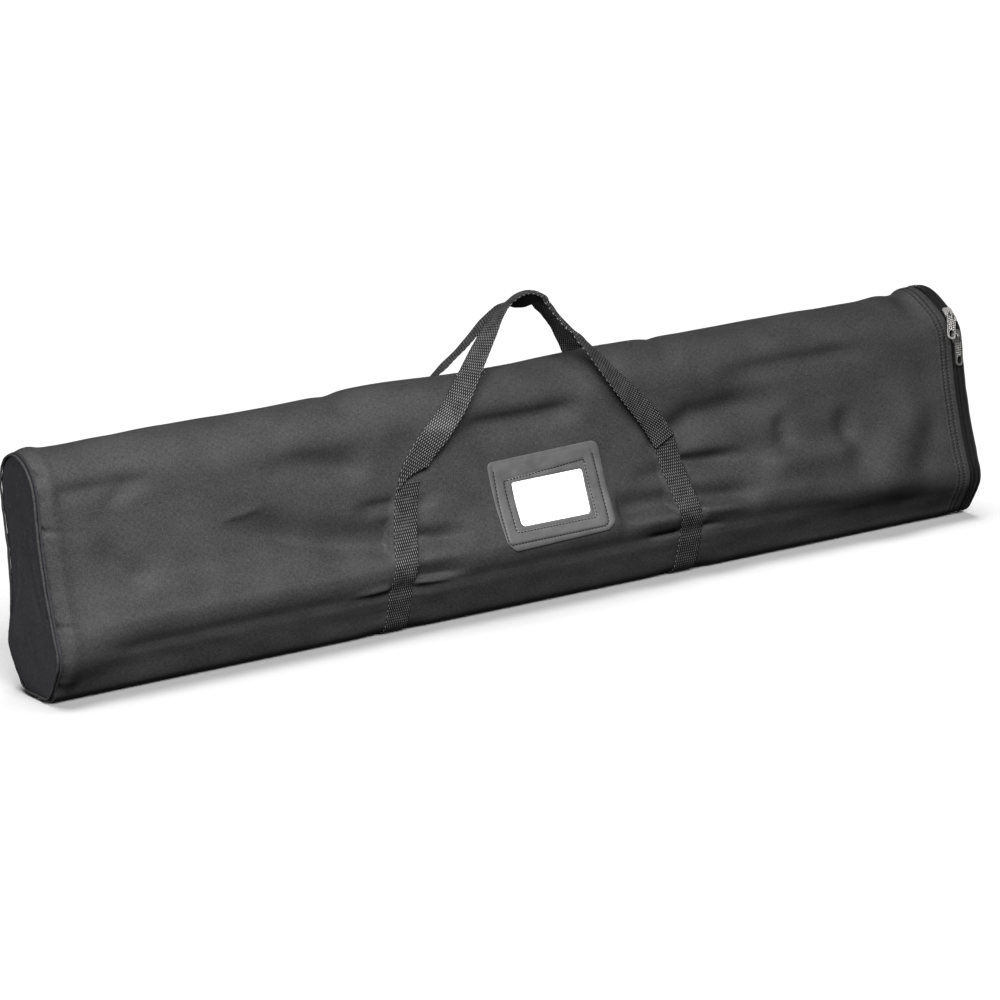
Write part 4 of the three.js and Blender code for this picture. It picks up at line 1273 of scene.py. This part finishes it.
# ---- Webbing ----
def webbing_mesh(name, centres, across, normals, body, node, skew=0.0):
    """A woven band that follows rows of centre, across and normal.

    With a skew, the band's first end is cut on the slant, and its weave stays square to the band.
    """
    count, columns = len(centres), 45
    share = np.linspace(-1, 1, columns)
    steps = reach_along(centres)
    lag = skew * (1 - share) / 2
    reach = steps[:, None] + lag[None, :] * (1 - smooth(0, 70 * MM, steps))[:, None]
    rows = resample(reach, steps, centres)
    sideways = unit(resample(reach, steps, across))
    outwards = unit(resample(reach, steps, normals))
    edge = np.sqrt(np.clip(1 - np.abs(share) ** 14, 0.12, 1))[None, :]
    u = share * WEBBING_WIDTH / 2
    floats = np.cos(2 * math.pi * u / WEAVE_ACROSS)[None, :] * np.cos(2 * math.pi * reach / WEAVE_ALONG)
    selvedge = smooth(0.9, 0.96, np.abs(share))[None, :]
    edge_rib = 0.75 + 0.25 * np.cos(4 * math.pi * reach / WEAVE_ALONG)
    rib = (0.5 + 0.5 * floats) * (1 - selvedge) + selvedge * edge_rib
    height = ((WEBBING / 2 - WEAVE_HEIGHT * (1 - rib)) * edge)[..., None]
    middle = rows + sideways * u[None, :, None]
    points = np.concatenate([middle + outwards * height, (middle - outwards * height)[:, ::-1]], axis=1)
    faces = grid_faces(count, 2 * columns, close_columns=True)
    for row, order in ((0, -1), (count - 1, 1)):
        ring = range(row * 2 * columns, (row + 1) * 2 * columns)
        for column in range(columns - 1):
            facing = 2 * columns - 1 - column
            quad = (ring[column], ring[column + 1], ring[facing - 1], ring[facing])
            faces.append(quad[::order])
    piece = make_object(name, points, faces, webbing, body)
    set_place(piece, np.concatenate([u, u[::-1]]), np.concatenate([reach, reach[:, ::-1]], axis=1))
    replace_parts(piece, node)
    return piece


STRAP_OUT = 0.3 * MM + WEBBING / 2
ROW_STEP = 0.85 * MM  # from one row of a band's points to the next


def make_strap(name, side, node):
    """A strap from one side under the bag to the other, never through the floor."""
    top = girth_at(STRAP_TOP + 5 * MM)
    girth = np.arange(-top, top, ROW_STEP)
    centres = on_cloth(strap_x(side, height_at(girth)), girth, STRAP_OUT, body_relief)
    centres[:, 2] = np.maximum(centres[:, 2], WEBBING / 2 + 0.02 * MM)
    across = np.tile([1.0, 0.0, 0.0], (len(girth), 1))
    webbing_mesh(name, centres, across, section_normals(girth), "bag", node)


# Each handle's route from its left end to its right: x, y, height and how far it has twisted from
# facing outwards (0) to facing up (1). skew is how much later its inner edge starts than its outer.
FRONT = {
    "facing": -1, "skew": 31 * MM,
    "route": [
        (-141, -46.4, 140, 0), (-138.5, -45.8, 152, 0), (-123.5, -46.5, 175, 0.08),
        (-113, -48.8, 186.5, 0.16), (-102, -50, 199, 0.42), (-86, -48.5, 215.5, 0.67),
        (-63, -41, 243, 0.91), (-39, -31, 269, 1.06), (-25, -25, 283, 1.16), (-9, -20, 296, 1.22),
        (5, -16, 301.8, 1.19), (16, -14, 304.6, 1.08), (28.5, -13.5, 303.6, 0.93), (37, -15, 299.8, 0.92),
        (41.5, -18, 292.5, 1.08), (46.8, -22.5, 281.5, 1.06), (54.5, -28.5, 269, 1.03),
        (60, -33, 262, 1.11), (67.5, -39.5, 250, 0.92), (81, -46, 230, 0.59), (98, -49.5, 206.5, 0.36),
        (123, -48.5, 176.5, 0.17), (132.5, -46.8, 165, 0.09), (141.5, -45.8, 152, 0), (148, -46, 140, 0),
    ],
}
REAR = {
    "facing": 1, "skew": 0,
    "route": [
        (-141, 45.6, 140, 0), (-138, 45.8, 152, 0), (-120, 47, 175, 0.22), (-89, 49, 202, 0.62),
        (-47, 42, 234.5, 1.01), (-27.5, 34, 253, 1.07), (-9.3, 25, 274, 1.13), (5, 17, 289, 1.04),
        (13, 12.5, 293.8, 0.82), (23, 10.5, 294.2, 0.5), (36, 10.5, 291.8, 0.55), (46, 12, 288.8, 0.7),
        (53, 15, 284, 1.1), (59.5, 18.5, 277, 1.04), (68.5, 22, 268.5, 1.02), (81, 28, 253, 1.1),
        (94.5, 36, 236, 0.97), (110, 44.5, 215, 0.6), (129, 47.5, 188, 0.22), (138, 46.4, 165, 0.03),
        (143, 45.6, 152, 0), (145, 45.6, 140, 0),
    ],
}


def catmull_rom(points, per_span):
    """A centripetal spline through points: its own points, and the stage each one lies at."""
    points = np.asarray(points, float)
    before, after = 2 * points[0] - points[1], 2 * points[-1] - points[-2]
    padded = np.vstack([before, points, after])
    found, places = [], []
    for span in range(len(points) - 1):
        p0, p1, p2, p3 = padded[span:span + 4]
        t1 = np.linalg.norm(p1 - p0) ** 0.5
        t2 = t1 + np.linalg.norm(p2 - p1) ** 0.5
        t3 = t2 + np.linalg.norm(p3 - p2) ** 0.5
        last = span == len(points) - 2
        for step in range(per_span + (1 if last else 0)):
            t = t1 + (t2 - t1) * step / per_span
            a1 = (t1 - t) / t1 * p0 + t / t1 * p1
            a2 = (t2 - t) / (t2 - t1) * p1 + (t - t1) / (t2 - t1) * p2
            a3 = (t3 - t) / (t3 - t2) * p2 + (t - t2) / (t3 - t2) * p3
            b1 = (t2 - t) / t2 * a1 + t / t2 * a2
            b2 = (t3 - t) / (t3 - t1) * a2 + (t - t1) / (t3 - t1) * a3
            found.append((t2 - t) / (t2 - t1) * b1 + (t - t1) / (t2 - t1) * b2)
            places.append(span + step / per_span)
    return np.array(found), np.array(places)


def handle_rows(handle):
    """Rows of centre, across and normal along a handle."""
    stages = np.array(handle["route"], float)
    route, places = catmull_rom(stages[:, :3] * MM + [0, 0, SLEEVE_BASE], 40)
    twists = np.interp(places, np.arange(len(stages)), stages[:, 3])
    reach = reach_along(route)
    even = np.arange(0, reach[-1], ROW_STEP)
    route = resample(even, reach, route)
    twists = softened(np.interp(even, reach, twists), 19) * math.pi / 2
    tangents = unit(np.gradient(route, axis=0))
    outward = np.array([0.0, handle["facing"], 0.0])
    up = np.array([0.0, 0.0, 1.0])
    flat = unit(outward - tangents * (tangents @ outward)[:, None])
    arch = unit(up - tangents * (tangents @ up)[:, None])
    normals = unit(flat * np.cos(twists)[:, None] + arch * np.sin(twists)[:, None])
    return route, np.cross(normals, tangents), normals


def make_handle(name, handle, node):
    """A handle's webbing along its route, from its sewn ends at the bag up over its top."""
    centres, across, normals = handle_rows(handle)
    piece = webbing_mesh(name, centres, across, normals, None, node, skew=handle["skew"])
    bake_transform(piece)


TACK_HEIGHT = STRAP_TOP - 14 * MM
TACK_HALF = 7.5 * MM
TACK_CORNERS = ((-1, -1), (1, -1), (1, 1), (-1, 1), (-1, -1), (1, 1))


def make_tacks():
    """Stitches round a square and along its diagonal hold each strap's end."""
    out = STRAP_OUT + WEBBING / 2 + 0.02 * MM
    shares = np.arange(12)[:, None] / 12
    legs = zip(np.array(TACK_CORNERS[:-1]), np.array(TACK_CORNERS[1:]))
    u, v = np.vstack([start + (end - start) * shares for start, end in legs]).T * TACK_HALF
    for facing, face in ((-1, "front"), (1, "rear")):
        for side, end in ((-1, "left"), (1, "right")):
            girths = facing * girth_at(TACK_HEIGHT + v)
            path = on_cloth(strap_x(side, TACK_HEIGHT + v) + u, girths, out, body_relief)
            centres, directions, _ = stitch_path(path, 2.6 * MM)
            normal = section_normals(facing * girth_at(TACK_HEIGHT))
            normals = np.tile(normal, (len(centres), 1))
            piece = stitches(f"tack_{face}_{end}", centres, directions, normals, 1.9 * MM, 0.5 * MM, "bag")
            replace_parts(piece, f"strap_tack_{face}_{end}")


# ---- The card pocket ----
# The pocket's outlines as (x, height) corners in mm: top left, top right, bottom right, bottom left,
# then each corner's radius and how far the right side bows out.
PATCH = ([(-54, 151.5), (71.5, 154.5), (76.8, 65.5), (-46, 62)], (7, 9, 9, 10), 1.4)
CHANNEL = ([(-47.8, 150), (62.6, 151), (68.4, 69.8), (-45, 69)], (1, 3, 4, 3), 2.6)
SEAM = ([(-38, 131), (54, 138), (57, 79.8), (-33.6, 79.6)], (1, 1, 1, 1), 0.6)
OPENING = ([(-29.4, 128.4), (50.2, 129.2), (51, 84.7), (-26.6, 84.7)], (3, 3.4, 3, 3), 1.0)


def mixed(first, second, share):
    corners = [tuple(a + (b - a) * share for a, b in zip(p, q)) for p, q in zip(first[0], second[0])]
    radii = tuple(a + (b - a) * share for a, b in zip(first[1], second[1]))
    return corners, radii, first[2] + (second[2] - first[2]) * share


def outline_points(shape, steps=8, per_side=14):
    """A rounded four-sided outline in x and height, with the same number of points for every shape."""
    corners, radii, bow = shape
    corners = np.array(corners, float)
    middle, points = corners.mean(axis=0), []
    for index in range(4):
        here, before, after = corners[index], corners[index - 1], corners[(index + 1) % 4]
        to_before, to_after = unit(before - here), unit(after - here)
        start, end = here + to_before * radii[index], here + to_after * radii[index]
        bend = here if index < 2 else (start + end) / 2 * 0.7 + here * 0.3  # the lower corners are cut off
        for step in range(steps + 1):
            share = step / steps
            points.append(start * (1 - share) ** 2 + 2 * bend * share * (1 - share) + end * share**2)
        ahead = after + unit(here - after) * radii[(index + 1) % 4]
        points += [end + (ahead - end) * step / per_side for step in range(1, per_side)]
    points = np.array(points)
    low, high = corners[:, 1].min(), corners[:, 1].max()
    level = np.clip((points[:, 1] - low) / (high - low) * 2 - 1, -1, 1)
    on_right = smooth(0, 0.9 * (corners[:, 0].max() - middle[0]), points[:, 0] - middle[0])
    points[:, 0] += bow * (1 - level**2) * on_right
    return points * MM


def label_surface(points, out):
    """Places in x and height on the front, out of the cloth."""
    return on_cloth(points[:, 0], -girth_at(points[:, 1]), out, body_relief)


def make_label():
    # From the patch's edge in to the window: two outlines, how far from one to the other, the height
    # out of the cloth, and 1 for the channel that stops short of the top.
    rings = [
        (PATCH, CHANNEL, 0.0, 0.3, 0), (PATCH, CHANNEL, 0.0, 1.1, 0), (PATCH, CHANNEL, 0.06, 1.4, 0),
        (PATCH, CHANNEL, 0.3, 1.5, 0), (PATCH, CHANNEL, 0.84, 1.5, 1), (PATCH, CHANNEL, 0.93, 1.0, 1),
        (CHANNEL, SEAM, 0.0, 0.75, 1), (CHANNEL, SEAM, 0.05, 1.35, 1), (CHANNEL, SEAM, 0.1, 1.8, 0),
        (CHANNEL, SEAM, 0.3, 1.85, 0), (CHANNEL, SEAM, 0.75, 1.85, 0), (CHANNEL, SEAM, 0.93, 1.8, 0),
        (CHANNEL, SEAM, 0.985, 1.35, 0), (SEAM, OPENING, 0.1, 1.35, 0), (SEAM, OPENING, 0.35, 1.75, 0),
        (SEAM, OPENING, 0.65, 1.9, 0), (SEAM, OPENING, 0.95, 1.85, 0), (SEAM, OPENING, 1.0, 1.55, 0),
    ]
    places, points = [], []
    for first, second, share, out, channel in rings:
        ring = outline_points(mixed(first, second, share))
        height = np.full(len(ring), out * MM)
        if channel:
            at_top = smooth(143 * MM, 149 * MM, ring[:, 1])
            height = height * (1 - at_top) + 1.6 * MM * at_top
        points.append(label_surface(ring, height))
        places.append(ring)
    points = np.array(points)
    faces = turned_over(grid_faces(len(rings), points.shape[1], close_columns=True))
    x, height = np.moveaxis(np.array(places), -1, 0)
    make_layer("label_vinyl", points, faces, vinyl, "bag", (x, height), 0.5 * MM, "label_frame")
    label_threads()
    label_sheet("label_card_blank", 0.75 * MM, card, 0.35 * MM, "label_card")
    label_sheet("label_film", 1.25 * MM, film, 0.2 * MM, "label_window")


def label_threads():
    channel = outline_points(mixed(PATCH, CHANNEL, 0.98))
    channel = channel[channel[:, 1] < 147 * MM]
    start = int(np.argmax(np.hypot(*(np.roll(channel, -1, axis=0) - channel).T))) + 1
    seam = outline_points(mixed(SEAM, OPENING, 0.02))
    for name, path, out in (
        ("outer", np.roll(channel, -start, axis=0), 1.0 * MM),
        ("window", np.vstack([seam, seam[:1]]), 1.6 * MM),
    ):
        centres, directions, shares = stitch_path(label_surface(path, out), STITCH_PITCH)
        heights = np.interp(shares, np.linspace(0, 1, len(path)), path[:, 1])
        normals = section_normals(-girth_at(heights))
        stitches(f"label_stitches_{name}", centres, directions, normals, 2.9 * MM, 1.0 * MM, "bag")


def label_sheet(name, out, material, thickness, node):
    """A thin sheet that lies in the pocket, as wide and high as its CAD node."""
    low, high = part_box(node)
    xs = np.linspace(low.x, high.x, 24)
    heights = np.linspace(low.z - SLEEVE_BASE, high.z - SLEEVE_BASE, 16)
    x, height = np.meshgrid(xs, heights, indexing="ij")
    points = on_cloth(x, -girth_at(height), out, body_relief)
    faces = grid_faces(len(xs), len(heights))
    make_layer(name, points, faces, material, "bag", (x, height), thickness, node)


def make_tongue():
    """The cloth tongue under the mouth, from under the hem to the flap."""
    reach = TAPE_END - 0.8 * MM
    girths = np.linspace(-reach, reach, 25)
    xs = np.linspace(HEM_X - 11 * MM, FLAP_X + 0.3 * MM, 26)
    x, girth = np.meshgrid(xs, girths, indexing="ij")
    points = on_cloth(x, girth, -1.25 * MM + 0.12 * MM * waves(x, girth, 12 * MM, 101), None)
    faces = grid_faces(len(xs), len(girths))
    place = (x, girth)
    piece = make_layer("base_tongue_cloth", points, faces, cloth, None, place, CLOTH, "base_tongue")
    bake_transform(piece)


# ---- The stage ----
CAMERA_PLACE = Vector((-2.0034, -3.5772, 1.0476))
CAMERA_AZIMUTH = 29.04 * DEGREE
CAMERA_ELEVATION = 13 * DEGREE
CAMERA_ROLL = -4 * DEGREE
FLOOR_REACH = 100.0


def make_camera():
    data = bpy.data.cameras.new("camera")
    data.lens = 153.6
    data.sensor_width = 36
    data.clip_start = 0.1
    data.clip_end = 250
    camera = add_object("camera", data)
    level = math.cos(CAMERA_ELEVATION)
    ahead = (math.sin(CAMERA_AZIMUTH) * level, math.cos(CAMERA_AZIMUTH) * level, -math.sin(CAMERA_ELEVATION))
    forward = Vector(ahead)
    right = Vector((math.cos(CAMERA_AZIMUTH), -math.sin(CAMERA_AZIMUTH), 0))
    up = right.cross(forward)
    rolled_right = right * math.cos(CAMERA_ROLL) + up * math.sin(CAMERA_ROLL)
    rolled_up = up * math.cos(CAMERA_ROLL) - right * math.sin(CAMERA_ROLL)
    turn = Matrix((rolled_right, rolled_up, -forward)).transposed()
    camera.matrix_world = Matrix.Translation(CAMERA_PLACE) @ turn.to_4x4()
    bpy.context.scene.camera = camera


def add_light(name, kind, power, location, target):
    data = bpy.data.lights.new(name, kind)
    data.energy = power
    light = add_object(name, data)
    light.location = location
    light.rotation_euler = (Vector(target) - Vector(location)).to_track_quat("-Z", "Y").to_euler()
    return light


def make_light(name, direction, softness, strength):
    """A large soft light, so far off that it falls evenly."""
    light = add_light(name, "SUN", strength, Vector(direction) * 3, (0, 0, 0))
    light.data.angle = softness
    return light


def make_near_light(name, location, target, size, power):
    """A soft box near the closed end, so that the bag darkens a little towards its mouth."""
    light = add_light(name, "AREA", power, location, target)
    light.data.shape = "DISK"
    light.data.size = size
    return light


def make_floor():
    mesh = bpy.data.meshes.new("floor")
    corners = [(-FLOOR_REACH, -FLOOR_REACH, 0), (FLOOR_REACH, -FLOOR_REACH, 0)]
    corners += [(FLOOR_REACH, FLOOR_REACH, 0), (-FLOOR_REACH, FLOOR_REACH, 0)]
    mesh.from_pydata(corners, [], [(0, 1, 2, 3)])
    nodes = Nodes("floor")
    mesh.materials.append(nodes.finish((0.5, 0.5, 0.5, 1.0), 0.9, None, Specular_IOR_Level=0.0))
    floor = add_object("floor", mesh)
    floor.visible_diffuse = False  # its bounce would light the dark underside and the ridge's far side
    floor.visible_glossy = False
    return floor


def make_world():
    world = bpy.data.worlds.new("studio")
    world.use_nodes = True
    background = world.node_tree.nodes["Background"]
    background.inputs["Color"].default_value = (1.0, 1.0, 1.0, 1.0)
    background.inputs["Strength"].default_value = 0.075
    bpy.context.scene.world = world


def make_stage():
    """The floor, the world and the lights: some light the floor alone, and the others all but the floor."""
    floor = make_floor()
    make_world()
    bpy.context.scene.view_settings.view_transform = "Standard"
    only_floor = bpy.data.collections.new("lit_floor")
    only_floor.objects.link(floor)
    all_but_floor = bpy.data.collections.new("lit_bag")
    all_but_floor.objects.link(floor)
    all_but_floor.collection_objects[0].light_linking.link_state = "EXCLUDE"
    key = make_light("key", (0.04, -0.75, 0.65), 19 * DEGREE, 1.85)
    side = make_light("side", (-0.94, -0.17, 0.22), 24 * DEGREE, 3.4)
    side.visible_glossy = False  # it would glare along the closed end's seam
    near = make_near_light("near", (-0.6, -1.15, 1.1), (-0.3, 0, 0.1), 0.7, 53)
    rear = make_light("rear", (0.66, 0.74, 0.12), 25 * DEGREE, 8.0)
    rear.visible_glossy = False  # it would glare along the ridge, seen from the front
    overhead = make_light("overhead", (-0.05, 0.02, 1.0), 36 * DEGREE, 3.9)
    fill = make_light("fill", (-0.1, -0.8, 0.6), 30 * DEGREE, 4.4)
    for light in (key, side, near, rear):
        light.light_linking.receiver_collection = all_but_floor
    for light in (overhead, fill):
        light.light_linking.receiver_collection = only_floor


make_camera()
make_stage()
make_sleeve()
make_inner_layers()
make_facing()
make_underside_seam()
make_sleeve_stitches()
make_closed_end()
make_flap()
make_zip()
for half in ("body", "flap"):
    for face in ("front", "rear"):
        finish_cad_node(f"zip_stop_{half}_{face}", nickel, 0.25 * MM)
make_sliders()
make_strap("webbing_strap_left", -1, "strap_left")
make_strap("webbing_strap_right", 1, "strap_right")
make_handle("webbing_handle_front", FRONT, "handle_front")
make_handle("webbing_handle_rear", REAR, "handle_rear")
make_tacks()
make_label()
make_tongue()

bpy.context.view_layer.update()
